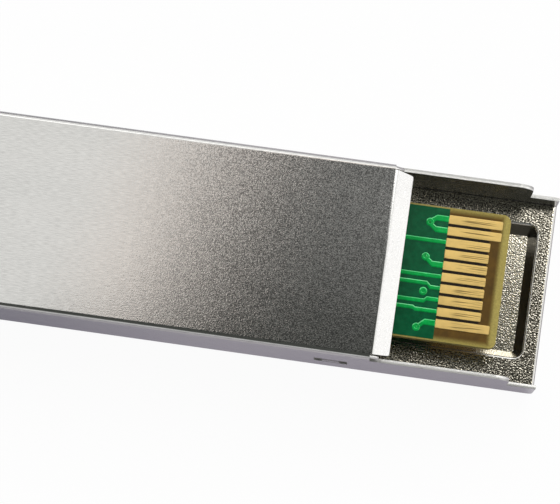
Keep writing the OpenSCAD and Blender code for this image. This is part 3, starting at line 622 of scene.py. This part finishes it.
def sheared_edge():
    """The cut edges of the sheet: rolled over on the outer side, torn bright on the inner side."""
    base = settings("finish_colours").sheared
    thickness = settings("cover_sizes").sheet
    material, tree, shader = finish("sheared_sheet_edge", base, metallic=1.0, roughness=0.5)
    tears = grain(tree, 0.07 * MM, detail=1.0, stretch=(1.0, 1.0, 0.4))
    depth = math_node(tree, "SUBTRACT", COVER_HIGH.y, math_node(tree, "ABSOLUTE", axes(tree)["Y"]))
    torn = mixed(tree, span(tree, tears, 0.3, 0.6), shade(base, 0.8), base)
    inner_half = span(tree, depth, 0.4 * thickness, 0.6 * thickness)
    feed(tree, shader, mixed(tree, inner_half, shade(base, 0.6), torn))
    relief(tree, shader, tears, 0.01 * MM)
    return material


def cast_metal(name, base, pit, depth):
    """Plated casting with a sparkling skin, its pits darkened to a share of its colour."""
    material, tree, shader = finish(name, base, metallic=1.0, roughness=0.11)
    coarse = grain(tree, 0.09 * MM, detail=0.0)
    pits = grain(tree, 0.1 * MM, detail=0.0)
    clouds = cloudy(tree, 2.5 * MM)
    tint = mixed(tree, span(tree, clouds, *NOISE), shade(base, 0.86), base)
    dark = mixed(tree, span(tree, pits, 0.36, 0.54), (pit, 0.95 * pit, 0.8 * pit), WHITE)
    feed(tree, shader, multiplied(tree, tint, dark), span(tree, coarse, *NOISE, 0.08, 0.14))
    relief(tree, shader, coarse, depth)
    return material


def cast_skin():
    """The smoother skin of the casting on its walls, edges and nose."""
    base = settings("finish_colours").casting_skin
    return worked_metal("plated_zinc_skin", base, roughness=0.2, mark=0.15 * MM, depth=0.003 * MM)


def pocket_wall_shade():
    """The pocket's end wall and far wall, dull and streaked where the die drew out of the casting, their
    colour darkened to a third as painted shade for the dark that they mirror.
    """
    # Painted shade: the skin's colour darkened to a third.
    base = shade(settings("finish_colours").casting_skin, 0.3)
    return worked_metal("pocket_wall_painted_shade", base, roughness=0.32, mark=0.1 * MM, depth=0.004 * MM,
                        stretch=(1.0, 1.0, 0.1))


def contact_gold():
    """Hard gold with wiping marks along the contacts."""
    base = settings("finish_colours").gold
    sizes = settings("board_sizes")
    material, tree, shader = finish("hard_gold_plating", base, metallic=1.0, roughness=0.47)
    spot = axes(tree)
    wipes = grain(tree, 0.06 * MM, detail=0.0, stretch=(0.02, 1.0, 1.0))
    patches = cloudy(tree, 0.6 * MM)
    front, rear = CONTACT_LOW.x, CONTACT_HIGH.x
    worn = math_node(tree, "MULTIPLY", span(tree, spot["X"], front + 0.7 * MM, front + 1.4 * MM),
                     span(tree, spot["X"], rear - 0.2 * MM, rear - 1.0 * MM))
    # How far off the middle of its contact a point lies, as a share of the pitch.
    from_row = math_node(tree, "SUBTRACT", spot["Y"], sizes.row_offset)
    share = math_node(tree, "FRACT", math_node(tree, "DIVIDE", from_row, sizes.pitch))
    aside = math_node(tree, "ABSOLUTE", math_node(tree, "SUBTRACT", share, 0.5))
    centred = math_node(tree, "MULTIPLY", worn, span(tree, aside, 0.3, 0.12))
    deeper = math_node(tree, "ADD", wipes, span(tree, aside, 0.2, 0.0, 0.0, 0.08))
    lines = math_node(tree, "MULTIPLY", centred, span(tree, deeper, 0.55, 0.67))
    tint = mixed(tree, span(tree, patches, *NOISE), shade(base, 0.9), shade(base, 1.02))
    wiped = mixed(tree, lines, tint, shade(base, 0.36))
    feed(tree, shader, wiped, span(tree, patches, *NOISE, 0.42, 0.52))
    relief(tree, shader, wipes, 0.001 * MM)
    return material


def laminate():
    """Glass laminate: brown over the inner copper plane, olive where light shines through the rim."""
    colours = settings("finish_colours")
    sizes = settings("board_sizes")
    material, tree, shader = finish("glass_laminate", colours.laminate, metallic=0.0, roughness=0.5)
    spot = axes(tree)
    weave = grain(tree, 0.12 * MM, detail=3.0, roughness=0.7)
    blotch = cloudy(tree, 0.8 * MM)
    side = math_node(tree, "SUBTRACT", sizes.card_width / 2, math_node(tree, "ABSOLUTE", spot["Y"]))
    end = math_node(tree, "SUBTRACT", BOARD_HIGH.x, spot["X"])
    rim = math_node(tree, "MINIMUM", math_node(tree, "ADD", side, 0.3 * MM), end)
    inner = mixed(tree, span(tree, blotch, *NOISE), shade(colours.laminate, 0.75),
                  shade(colours.laminate, 1.15))
    outer = mixed(tree, span(tree, weave, *NOISE), shade(colours.laminate_edge, 0.7),
                  colours.laminate_edge)
    edged = mixed(tree, span(tree, rim, 0.28 * MM, 0.75 * MM), outer, inner)
    # Painted shade: the gaps between the contacts are darkened to a tenth of the laminate's colour.
    short_end = CONTACT_HIGH.x - sizes.short_gap
    row_half = sizes.contact_count * sizes.pitch / 2
    from_row = math_node(tree, "ABSOLUTE", math_node(tree, "SUBTRACT", spot["Y"], sizes.row_offset))
    gap_shade = math_node(tree, "MULTIPLY", span(tree, spot["X"], short_end, short_end - 0.2 * MM),
                     span(tree, from_row, row_half - 0.05 * MM, row_half - 0.15 * MM))
    feed(tree, shader, mixed(tree, gap_shade, edged, shade(colours.laminate, 0.1)))
    shader.inputs["Specular IOR Level"].default_value = 0.2
    relief(tree, shader, weave, 0.004 * MM)
    return material


def mask_film(name, base, roughness=0.12):
    """Glossy solder mask with a slightly uneven colour."""
    material, tree, shader = finish(name, base, metallic=0.0, roughness=roughness)
    patches = cloudy(tree, 0.5 * MM)
    ripple = grain(tree, 0.25 * MM, detail=2.0, roughness=0.5)
    tone = mixed(tree, span(tree, patches, *NOISE), shade(base, 0.8), shade(base, 1.15))
    feed(tree, shader, tone, span(tree, patches, *NOISE, roughness * 0.8, roughness * 1.3))
    shader.inputs["Specular IOR Level"].default_value = 0.4
    relief(tree, shader, ripple, 0.003 * MM)
    return material


def worked_metal(name, base, roughness, mark, depth, stretch=EVEN):
    """Drawn, turned, rolled or cast metal, with marks of a width and a depth."""
    material, tree, shader = finish(name, base, metallic=1.0, roughness=roughness)
    marks = grain(tree, mark, detail=4.0, stretch=stretch, roughness=0.65)
    clouds = cloudy(tree, 2.0 * MM)
    tone = mixed(tree, span(tree, clouds, *NOISE), shade(base, 0.86), base)
    feed(tree, shader, tone, span(tree, marks, 0.25, 0.75, roughness * 0.8, roughness * 1.3))
    relief(tree, shader, marks, depth)
    return material


def moulded(name, base, roughness, speck=0.06 * MM):
    """Moulded or fired material with a fine matt grain."""
    material, tree, shader = finish(name, base, metallic=0.0, roughness=roughness)
    specks = grain(tree, speck, detail=3.0, roughness=0.65)
    patches = cloudy(tree, 1.2 * MM)
    tone = mixed(tree, span(tree, patches, *NOISE), shade(base, 0.85), shade(base, 1.1))
    feed(tree, shader, tone, span(tree, specks, *NOISE, roughness * 0.85, roughness * 1.15))
    relief(tree, shader, specks, 0.004 * MM)
    return material


# Pieces

class TRANSCEIVER_OT_cover(bpy.types.Operator):
    """Folds the sheet cover: top, side walls, windows and the slanted lip"""
    bl_idname = "transceiver.cover"
    bl_label = "Folded cover"

    def execute(self, context):
        sizes = settings("cover_sizes")
        front, rear = COVER_LOW.x, COVER_HIGH.x
        half, top, foot = COVER_HIGH.y, COVER_HIGH.z, COVER_LOW.z
        bend = sizes.bend
        lip_end = rear - sizes.opening
        lip_start = lip_end - sizes.lip_drop - (math.sqrt(2) - 1) * bend
        wall_top = top - sizes.lip_drop
        step = rear - sizes.low_wall_length
        piece = sheet("folded_cover", (front, bend - half), (lip_start, half - bend), top)
        edit(piece)
        for sign in (-1, 1):
            pick("EDGE", at(y=sign * (half - bend), z=top))
            bpy.ops.mesh.spin(steps=FOLD_STEPS, angle=sign * math.pi / 2,
                              center=(0.0, sign * (half - bend), top - bend), axis=(1.0, 0.0, 0.0))
        pick("EDGE", at(z=top - bend, side=half))
        extrude(z=foot - top + bend)
        pick("FACE", at(side=half))
        cut((0.0, 0.0, wall_top), (0.0, 0.0, 1.0))
        pick("EDGE", both(at(x=lip_start, side=half), inside(z=(foot, wall_top))))
        extrude(x=rear - lip_start)
        pick("FACE", inside(x=(lip_start, rear)))
        cut((step, 0.0, 0.0), (1.0, 0.0, 0.0))
        pick("FACE", inside(x=(step, rear)))
        cut((0.0, 0.0, sizes.low_wall_height), (0.0, 0.0, 1.0))
        pick("FACE", inside(x=(step, rear), z=(sizes.low_wall_height, wall_top)))
        bpy.ops.mesh.delete(type="FACE")
        self.open_windows(sizes, half, (rear - sizes.window_rear, front + sizes.window_front))
        pick("VERT", at(x=step, z=wall_top))
        round_corners(sizes.wall_corner)
        pick("VERT", at(x=rear, z=foot))
        round_corners(sizes.foot_corner)
        self.fold_lip(sizes, lip_start, lip_end, half, top)
        bpy.ops.mesh.select_all(action="SELECT")
        bpy.ops.mesh.remove_doubles(threshold=TOUCH)
        face_outwards()
        done()
        for material in (nickel_sheet(), sheared_edge(), sheet_inside()):
            piece.data.materials.append(material)
        apply_modifier(piece, "SOLIDIFY", thickness=sizes.sheet, offset=-1.0, use_even_offset=True,
                       material_offset_rim=1, material_offset=2)
        round_edges(piece, sizes.edge, angle=50.0)
        smooth(piece, 30.0)
        fasten(piece, "housing", "cover_sheet", None, "cover")
        return {"FINISHED"}

    def open_windows(self, sizes, half, middles):
        """Cuts the snap windows out of both side walls."""
        level, reach = sizes.window_level, sizes.window_height / 2
        for middle in middles:
            low, high = middle - sizes.window_width / 2, middle + sizes.window_width / 2
            for x in (low, high):
                pick("FACE", at(side=half))
                cut((x, 0.0, 0.0), (1.0, 0.0, 0.0))
            for z in (level - reach, level + reach):
                pick("FACE", both(at(side=half), inside(x=(low, high))))
                cut((0.0, 0.0, z), (0.0, 0.0, 1.0))
            pick("FACE", both(at(side=half), inside(x=(low, high), z=(level - reach, level + reach))))
            bpy.ops.mesh.delete(type="FACE")

    def fold_lip(self, sizes, start, end, half, top):
        """Bends the rear edge of the top down into the slanted lip, with a tab at each end."""
        bend = sizes.bend
        # A tab takes the middle of the fold, so a slit stays open between it and the lip.
        tab_edges = inside(side=(half - 0.8 * bend, half - 0.3 * bend), z=(top - bend, top))
        pick("EDGE", both(at(x=start), tab_edges))
        extrude(x=sizes.lip_tab, z=-sizes.lip_tab)
        pick("EDGE", at(x=start, z=top))
        bpy.ops.mesh.spin(steps=LIP_STEPS, angle=-math.pi / 4,
                          center=(start, 0.0, top - bend), axis=(0.0, 1.0, 0.0))
        turned = bend / math.sqrt(2)
        pick("EDGE", at(x=start + turned, z=top - bend + turned))
        slant = end - start - turned
        extrude(x=slant, z=-slant)
        pick("VERT", at(x=end))
        lip_half = half - bend
        bpy.ops.transform.resize(value=(1.0, (lip_half - sizes.lip_taper) / lip_half, 1.0),
                                 center_override=(end, 0.0, top - bend))
        round_corners(sizes.lip_corner)


class TRANSCEIVER_OT_casting(bpy.types.Operator):
    """Rounds the edges of the cast housing and gives it its coarse skin"""
    bl_idname = "transceiver.casting"
    bl_label = "Cast housing"

    def execute(self, context):
        sizes = settings("casting_sizes")
        piece = merged_copy("base_housing", "cast_housing")
        edit(piece)
        pick("EDGE", self.pocket_rim(sizes))
        bevel_edges(sizes.rim, 4)
        done()
        round_edges(piece, sizes.edge)
        smooth(piece)
        colours = settings("finish_colours")
        skin = cast_skin()
        floor = cast_metal("coarse_cast_floor", colours.casting, pit=0.12, depth=0.0145 * MM)
        # The pocket floor: a finer grain with fainter pits, and a lighter colour that is painted light.
        pocket = cast_metal("fine_cast_pocket_painted_light", colours.pocket_casting_painted_lighter, pit=0.75, depth=0.0085 * MM)
        for material in (skin, floor, pocket, pocket_wall_shade()):
            piece.data.materials.append(material)
        coarse_floor, fine_pocket_painted_light, shaded_wall = 1, 2, 3
        floor_start = COVER_HIGH.x - sizes.floor_length
        in_pocket = self.around_pocket(sizes, (0.0, sizes.floor_level - sizes.rim))
        for face in piece.data.polygons:
            level = face.normal.z > 0.99 and face.center.x > floor_start
            if level and near(face.center.z, sizes.floor_level):
                face.material_index = coarse_floor
            elif level and face.center.z < sizes.floor_level:
                face.material_index = fine_pocket_painted_light
            # Pocket walls that face the front or the near side get the painted shade.
            elif min(face.normal.x, face.normal.y) < -0.5 and in_pocket([face.center]):
                face.material_index = shaded_wall
        fasten(piece, "housing", "cast_zinc", None, "base_housing")
        return {"FINISHED"}

    def pocket_rim(self, sizes):
        """A test for the edges around the pocket's mouth."""
        return both(at(z=sizes.floor_level), self.around_pocket(sizes))

    def around_pocket(self, sizes, z=None):
        """A test for what lies over or in the pocket, between two heights if they are given."""
        end = COVER_HIGH.x - sizes.pocket_rear
        half = sizes.pocket_width / 2
        return inside(x=(end - sizes.pocket_length, end),
                      y=(sizes.pocket_shift - half, sizes.pocket_shift + half), z=z)


def row_place(sizes, number, side=1):
    """Place across the board of a contact, counted from the far side; the other face has side -1."""
    return side * sizes.row_offset + ((sizes.contact_count + 1) / 2 - number) * sizes.pitch


class TRANSCEIVER_OT_board(bpy.types.Operator):
    """Lays the solder mask, the traces and the vias on the circuit board"""
    bl_idname = "transceiver.board"
    bl_label = "Circuit board"

    def execute(self, context):
        sizes = settings("board_sizes")
        colours = settings("finish_colours")
        paint_node("circuit_board", laminate())
        mask = mask_film("mask_on_laminate", colours.mask)
        for name, level, rise in (("solder_mask_open_side", BOARD_HIGH.z, sizes.mask_film),
                                  ("solder_mask_hood_side", BOARD_LOW.z, -sizes.mask_film)):
            fasten(self.mask_sheet(sizes, name, level, rise), "housing", "board", mask)
        traces = self.traces(sizes)
        traces.data.materials.append(mask_film("mask_on_copper", colours.trace))
        traces.data.materials.append(mask_film("mask_on_copper_highlight", colours.trace_far_edge_highlight))
        # Painted highlight: the slopes that face the far side get the lighter colour, the other faces
        # keep the trace colour.
        for face in traces.data.polygons:
            face.material_index = 1 if face.normal.y > 0.15 else 0
        fasten(traces, "housing", "board", None)
        return {"FINISHED"}

    def mask_sheet(self, sizes, name, level, rise):
        """A film over one face of the board, up to the contacts."""
        margin = sizes.mask_margin
        shoulder = BOARD_HIGH.x - sizes.card_start - margin
        half, card = BOARD_HIGH.y - margin, sizes.card_width / 2 - margin
        piece = sheet(name, (BOARD_LOW.x + margin, -half), (shoulder, half), level)
        edit(piece)
        for sign in (-1, 1):
            bpy.ops.mesh.select_all(action="SELECT")
            cut((0.0, sign * card, 0.0), (0.0, 1.0, 0.0))
        pick("EDGE", both(at(x=shoulder), inside(side=(0.0, card / 2))))
        extrude(x=CONTACT_LOW.x - shoulder)
        bpy.ops.mesh.select_all(action="SELECT")
        extrude(z=rise)
        face_outwards()
        done()
        round_edges(piece, abs(rise) / 2)
        smooth(piece)
        return piece

    def traces(self, sizes):
        """All traces and vias of the open side, as one piece on the mask."""
        level = BOARD_HIGH.z + sizes.mask_film
        edge = CONTACT_LOW.x
        parts = [self.trace(sizes, edge, row_place(sizes, number), getattr(sizes, width), level, steps)
                 for number, width, steps in TRACES]
        places = [(edge + along * MM, row_place(sizes, number) + across * MM)
                  for number, along, across in VIAS]
        parts.append(spread(self.via(sizes, level), places, "vias"))
        piece = join(parts, "board_traces")
        smooth(piece, 20.0)
        return piece

    def trace(self, sizes, x, y, width, level, steps):
        """One covered trace: a strip that starts at a contact and follows a list of steps."""
        start = x - sizes.slope
        piece = sheet("trace", (start, y - width / 2), (x, y + width / 2), level)
        edit(piece)
        pick("EDGE", at(x=start))
        for along, across in steps:
            extrude(x=along * MM, y=across * MM)
        face_outwards()
        self.lift(sizes.trace_height, sizes.slope)
        face_outwards()
        return done()

    def lift(self, rise, slope):
        """Lifts the selected faces on a short upright foot and draws them in along a slope."""
        extrude(z=rise / 3)
        bpy.ops.mesh.inset(thickness=slope, depth=rise * 2 / 3)

    def via(self, sizes, level):
        """A covered via in the middle of the board: a raised ring with a sunken middle."""
        rise = sizes.trace_height * 1.2
        sunken = sizes.slope / 2
        ring = (sizes.via_size - sizes.via_hole) / 2 - sizes.slope - sunken / 2
        piece = disc("via", 0.0, 0.0, level, sizes.via_size)
        edit(piece)
        bpy.ops.mesh.select_all(action="SELECT")
        self.lift(rise, sizes.slope)
        bpy.ops.mesh.inset(thickness=ring, depth=0.0)
        bpy.ops.mesh.inset(thickness=sunken, depth=-rise * 0.7)
        face_outwards()
        return done()


class TRANSCEIVER_OT_contacts(bpy.types.Operator):
    """Makes the plated contacts on both faces of the card edge"""
    bl_idname = "transceiver.contacts"
    bl_label = "Edge contacts"

    def execute(self, context):
        sizes = settings("board_sizes")
        gold = contact_gold()
        rows = (("edge_contacts_open_side", CONTACT_LOW, CONTACT_HIGH, 1, (1, 2, 10)),
                ("edge_contacts_hood_side", UNDER_LOW, UNDER_HIGH, -1, (1, 4, 7, 10)))
        for solid, low, high, side, long_ones in rows:
            numbers = range(1, sizes.contact_count + 1)
            parts = []
            for end, chosen in ((high.x, [n for n in numbers if n in long_ones]),
                                (high.x - sizes.short_gap, [n for n in numbers if n not in long_ones])):
                places = [(0.0, row_place(sizes, number, side)) for number in chosen]
                parts.append(spread(self.contact(sizes, low, high, end), places, "contacts"))
            piece = join(parts, solid.replace("edge", "gold"))
            smooth(piece)
            fasten(piece, "housing", "contact_gold", gold, solid)
        return {"FINISHED"}

    def contact(self, sizes, low, high, end):
        """One contact in the middle of the row, with rounded corners and edges."""
        half = sizes.contact_width / 2
        piece = sheet("contact", (low.x, -half), (end, half), low.z)
        edit(piece)
        pick("VERT", at(x=end))
        round_corners(sizes.contact_corner, 3)
        bpy.ops.mesh.select_all(action="SELECT")
        extrude(z=high.z - low.z)
        face_outwards()
        pick("EDGE", at(z=high.z if high.z > BOARD_HIGH.z else low.z))
        bevel_edges(sizes.contact_edge)
        return done()


class TRANSCEIVER_OT_optics(bpy.types.Operator):
    """Finishes the barrels, sleeves, cans, flexible circuits and their retainer"""
    bl_idname = "transceiver.optics"
    bl_label = "Optical subassemblies"

    def execute(self, context):
        colours = settings("finish_colours")
        edges = settings("edge_sizes")
        barrel = worked_metal("turned_barrel_steel", colours.steel, roughness=0.24, mark=0.08 * MM,
                              depth=0.002 * MM, stretch=(1.0, 0.1, 0.1))
        ceramic = moulded("ferrule_ceramic", colours.ceramic, roughness=0.25)
        can = worked_metal("gold_plated_can", colours.gold, roughness=0.22, mark=0.1 * MM,
                           depth=0.001 * MM, stretch=(1.0, 0.2, 0.2))
        film = moulded("polyimide_film", colours.film, roughness=0.35, speck=0.2 * MM)
        for side in ("tosa", "rosa"):
            rows = (("barrel", "barrel_steel", barrel), ("sleeve", "sleeve_ceramic", ceramic),
                    ("can", "can_gold", can), ("flex", "flex_film", film))
            for part, slot, material in rows:
                solid = side + "_" + part
                piece = refined_copy(solid, "finished_" + solid, edges.turned)
                fasten(piece, "housing", slot, material, solid)
        plastic = moulded("retainer_plastic", colours.plastic, roughness=0.5)
        piece = refined_copy("osa_retainer", "moulded_retainer", edges.moulded)
        fasten(piece, "housing", "retainer_plastic", plastic, "osa_retainer")
        return {"FINISHED"}


class TRANSCEIVER_OT_components(bpy.types.Operator):
    """Finishes the chips and the small components on the board"""
    bl_idname = "transceiver.components"
    bl_label = "Board components"

    def execute(self, context):
        colours = settings("finish_colours")
        chip = moulded("chip_moulding", colours.chip, roughness=0.45)
        rows = [(name, "chip_black", chip) for name in
                ("laser_driver_chip", "receiver_chip", "controller_chip", "memory_chip")]
        rows += [("power_inductors", "inductor_grey",
                  moulded("ferrite_block", colours.ferrite, roughness=0.5)),
                 ("bypass_capacitors", "capacitor_tan",
                  moulded("capacitor_ceramic", colours.capacitor, roughness=0.4)),
                 ("resistors", "resistor_black",
                  moulded("resistor_glaze", colours.resistor, roughness=0.3)),
                 ("thermal_pad", "thermal_silicone",
                  moulded("soft_silicone", colours.pad, roughness=0.7, speck=0.15 * MM))]
        for solid, slot, material in rows:
            piece = refined_copy(solid, "finished_" + solid, settings("edge_sizes").moulded)
            fasten(piece, "housing", slot, material, solid)
        return {"FINISHED"}


class TRANSCEIVER_OT_latch(bpy.types.Operator):
    """Finishes the collar, the latch lever, its pin and spring, and the bail"""
    bl_idname = "transceiver.latch"
    bl_label = "Latch and collar"

    def execute(self, context):
        colours = settings("finish_colours")
        edges = settings("edge_sizes")
        steel = worked_metal("drawn_steel", colours.steel, roughness=0.26, mark=0.08 * MM,
                             depth=0.0015 * MM, stretch=(0.3, 0.3, 1.0))
        spring = worked_metal("spring_sheet", colours.spring, roughness=0.22, mark=0.09 * MM,
                              depth=0.001 * MM, stretch=(0.2, 1.0, 1.0))
        lever = worked_metal("sintered_steel", colours.steel, roughness=0.34, mark=0.12 * MM,
                             depth=0.004 * MM)
        rows = (("latch_lever", "rocking_lever", "lever", "lever_steel", lever, edges.latch),
                ("bail", "bent_bail", "bail", "bail_steel", steel, edges.bail),
                ("bail_shaft", "cam_shaft", "bail", "bail_steel", steel, edges.latch))
        for solid, name, body, slot, material, radius in rows:
            fasten(refined_copy(solid, name, radius), body, slot, material, solid)
        leaf = refined_copy("latch_spring", "pressed_leaf_spring", edges.leaf)
        fasten(leaf, "housing", "spring_steel", spring, "latch_spring")
        self.press(leaf)
        for solid, material in (("emi_collar", spring), ("lever_pin", steel)):
            paint_node(solid, material)
        return {"FINISHED"}

    def press(self, leaf):
        """Gives the leaf spring a mesh of its own."""
        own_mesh(leaf)


class TRANSCEIVER_OT_stage(bpy.types.Operator):
    """Sets up the floor, the lamps, the world and the camera"""
    bl_idname = "transceiver.stage"
    bl_label = "Stage"

    def execute(self, context):
        stage = settings("stage_settings")
        context.scene.view_settings.view_transform = "Standard"
        self.floor(stage)
        self.world()
        edge, slant = Vector(stage.bank_edge), stage.bank_slant
        turn = Matrix.Rotation(slant, 3, "Z")
        for name, start, width, near_end, brightness, tint in LEFT_BANK:
            centre = edge + turn @ Vector((-start - width / 2, (BANK_FAR + near_end) / 2, 0.0))
            self.lamp(name, centre, (width, BANK_FAR - near_end), (0.0, 0.0, slant), brightness, tint)
        for name, spot, size, degrees, brightness in SOFTBOXES:
            self.lamp(name, spot, size, [math.radians(angle) for angle in degrees], brightness)
        self.camera(stage)
        return {"FINISHED"}

    def floor(self, stage):
        """Paper floor, white, that keeps the module's shadow, and glows with a painted reflection, dimmer
        and tinted, where the module mirrors it.
        """
        piece = sheet("floor", (-FLOOR_HALF, -FLOOR_HALF), (FLOOR_HALF, FLOOR_HALF), FLOOR_LEVEL)
        edit(piece)
        bpy.ops.mesh.select_all(action="SELECT")
        bpy.ops.mesh.subdivide(number_cuts=3)
        done()
        material, tree, shader = finish("paper_floor", stage.floor, metallic=0.0, roughness=0.9)
        shader.inputs["Specular IOR Level"].default_value = 0.1
        fibre = cloudy(tree, 3.0 * MM)
        feed(tree, shader, mixed(tree, fibre, shade(stage.floor, 0.985), stage.floor))
        glow = node(tree, "ShaderNodeEmission", Strength=1.0)
        rays = node(tree, "ShaderNodeLightPath")
        seen = math_node(tree, "MULTIPLY", rays.outputs["Is Camera Ray"], 0.95)
        along = axes(tree)["X"]
        rear = CAD_BOX[1].x
        # Painted reflection: where the module's metal mirrors the floor, the floor glows darker and
        # lavender beside the module and white behind it.
        beside = mixed(tree, span(tree, along, -0.4 * rear, 0.3 * rear), *PAINTED_FLOOR_REFLECTION)
        behind = span(tree, along, rear, 3 * rear)
        share = span(tree, along, rear, 3 * rear, 0.5, 0.8)
        indirect = math_node(tree, "ADD", rays.outputs["Is Glossy Ray"],
                             rays.outputs["Is Transmission Ray"])
        mirrored = math_node(tree, "MULTIPLY", indirect, share)
        mirrored_glow_colour = mixed(tree, behind, beside, WHITE)
        tree.links.new(mixed(tree, rays.outputs["Is Camera Ray"], mirrored_glow_colour, WHITE), glow.inputs["Color"])
        blend = node(tree, "ShaderNodeMixShader", {0: math_node(tree, "ADD", seen, mirrored),
                                                   1: shader.outputs[0], 2: glow.outputs[0]})
        tree.links.new(blend.outputs[0], tree.nodes["Material Output"].inputs["Surface"])
        piece.data.materials.append(material)

    def world(self):
        """A room that is pale near the horizon and dark overhead, where the camera stands."""
        world = bpy.data.worlds.new("pale_room")
        bpy.context.scene.world = world
        world.use_nodes = True
        tree = world.node_tree
        source = node(tree, "ShaderNodeTexCoord")
        up = node(tree, "ShaderNodeSeparateXYZ", {"Vector": source.outputs["Generated"]}).outputs["Z"]
        tone = mixed(tree, span(tree, up, 0.05, 0.8), *ROOM_TINTS)
        tree.links.new(tone, tree.nodes["Background"].inputs["Color"])

    def lamp(self, name, spot, size, turn, brightness, tint=WHITE):
        """A softbox of an even brightness."""
        data = bpy.data.lights.new(name, "AREA")
        data.shape = "RECTANGLE"
        data.size, data.size_y = size
        data.color = tint
        data.energy = brightness * math.pi * size[0] * size[1]
        lamp = bpy.data.objects.new(name, data)
        lamp.location = spot
        lamp.rotation_euler = turn
        bpy.context.collection.objects.link(lamp)

    def camera(self, stage):
        """The camera, placed as in the photograph."""
        data = bpy.data.cameras.new("camera")
        data.lens = stage.focal
        data.sensor_width = 36.0
        data.clip_start = 0.01
        camera = bpy.data.objects.new("camera", data)
        bpy.context.collection.objects.link(camera)
        camera.location = stage.camera_place
        camera.rotation_euler = stage.camera_turn
        bpy.context.scene.camera = camera


STEPS = (TRANSCEIVER_OT_cover, TRANSCEIVER_OT_casting, TRANSCEIVER_OT_board, TRANSCEIVER_OT_contacts,
         TRANSCEIVER_OT_optics, TRANSCEIVER_OT_components, TRANSCEIVER_OT_latch, TRANSCEIVER_OT_stage)
GROUPS = (("cover_sizes", CoverSizes), ("casting_sizes", CastingSizes), ("board_sizes", BoardSizes),
          ("edge_sizes", EdgeSizes), ("finish_colours", FinishColours), ("stage_settings", StageSettings))


class TRANSCEIVER_PT_sidebar(bpy.types.Panel):
    """Lists the steps and the sizes and colours that they use"""
    bl_idname = "TRANSCEIVER_PT_sidebar"
    bl_label = "Transceiver"
    bl_space_type = "VIEW_3D"
    bl_region_type = "UI"
    bl_category = "Transceiver"

    def draw(self, context):
        for step in STEPS:
            self.layout.operator(step.bl_idname)
        for name, group in GROUPS:
            box = self.layout.box()
            for key in group.__annotations__:
                box.prop(getattr(context.scene, name), key)


def register():
    for name, group in GROUPS:
        bpy.utils.register_class(group)
        setattr(bpy.types.Scene, name, PointerProperty(type=group))
    for step in STEPS:
        bpy.utils.register_class(step)
    bpy.utils.register_class(TRANSCEIVER_PT_sidebar)


def unregister():
    bpy.utils.unregister_class(TRANSCEIVER_PT_sidebar)
    for step in reversed(STEPS):
        bpy.utils.unregister_class(step)
    for name, group in reversed(GROUPS):
        delattr(bpy.types.Scene, name)
        bpy.utils.unregister_class(group)


def main():
    register()
    bpy.ops.transceiver.cover()
    bpy.ops.transceiver.casting()
    bpy.ops.transceiver.board()
    bpy.ops.transceiver.contacts()
    bpy.ops.transceiver.optics()
    bpy.ops.transceiver.components()
    bpy.ops.transceiver.latch()
    bpy.ops.transceiver.stage()


if __name__ == "__main__":
    main()
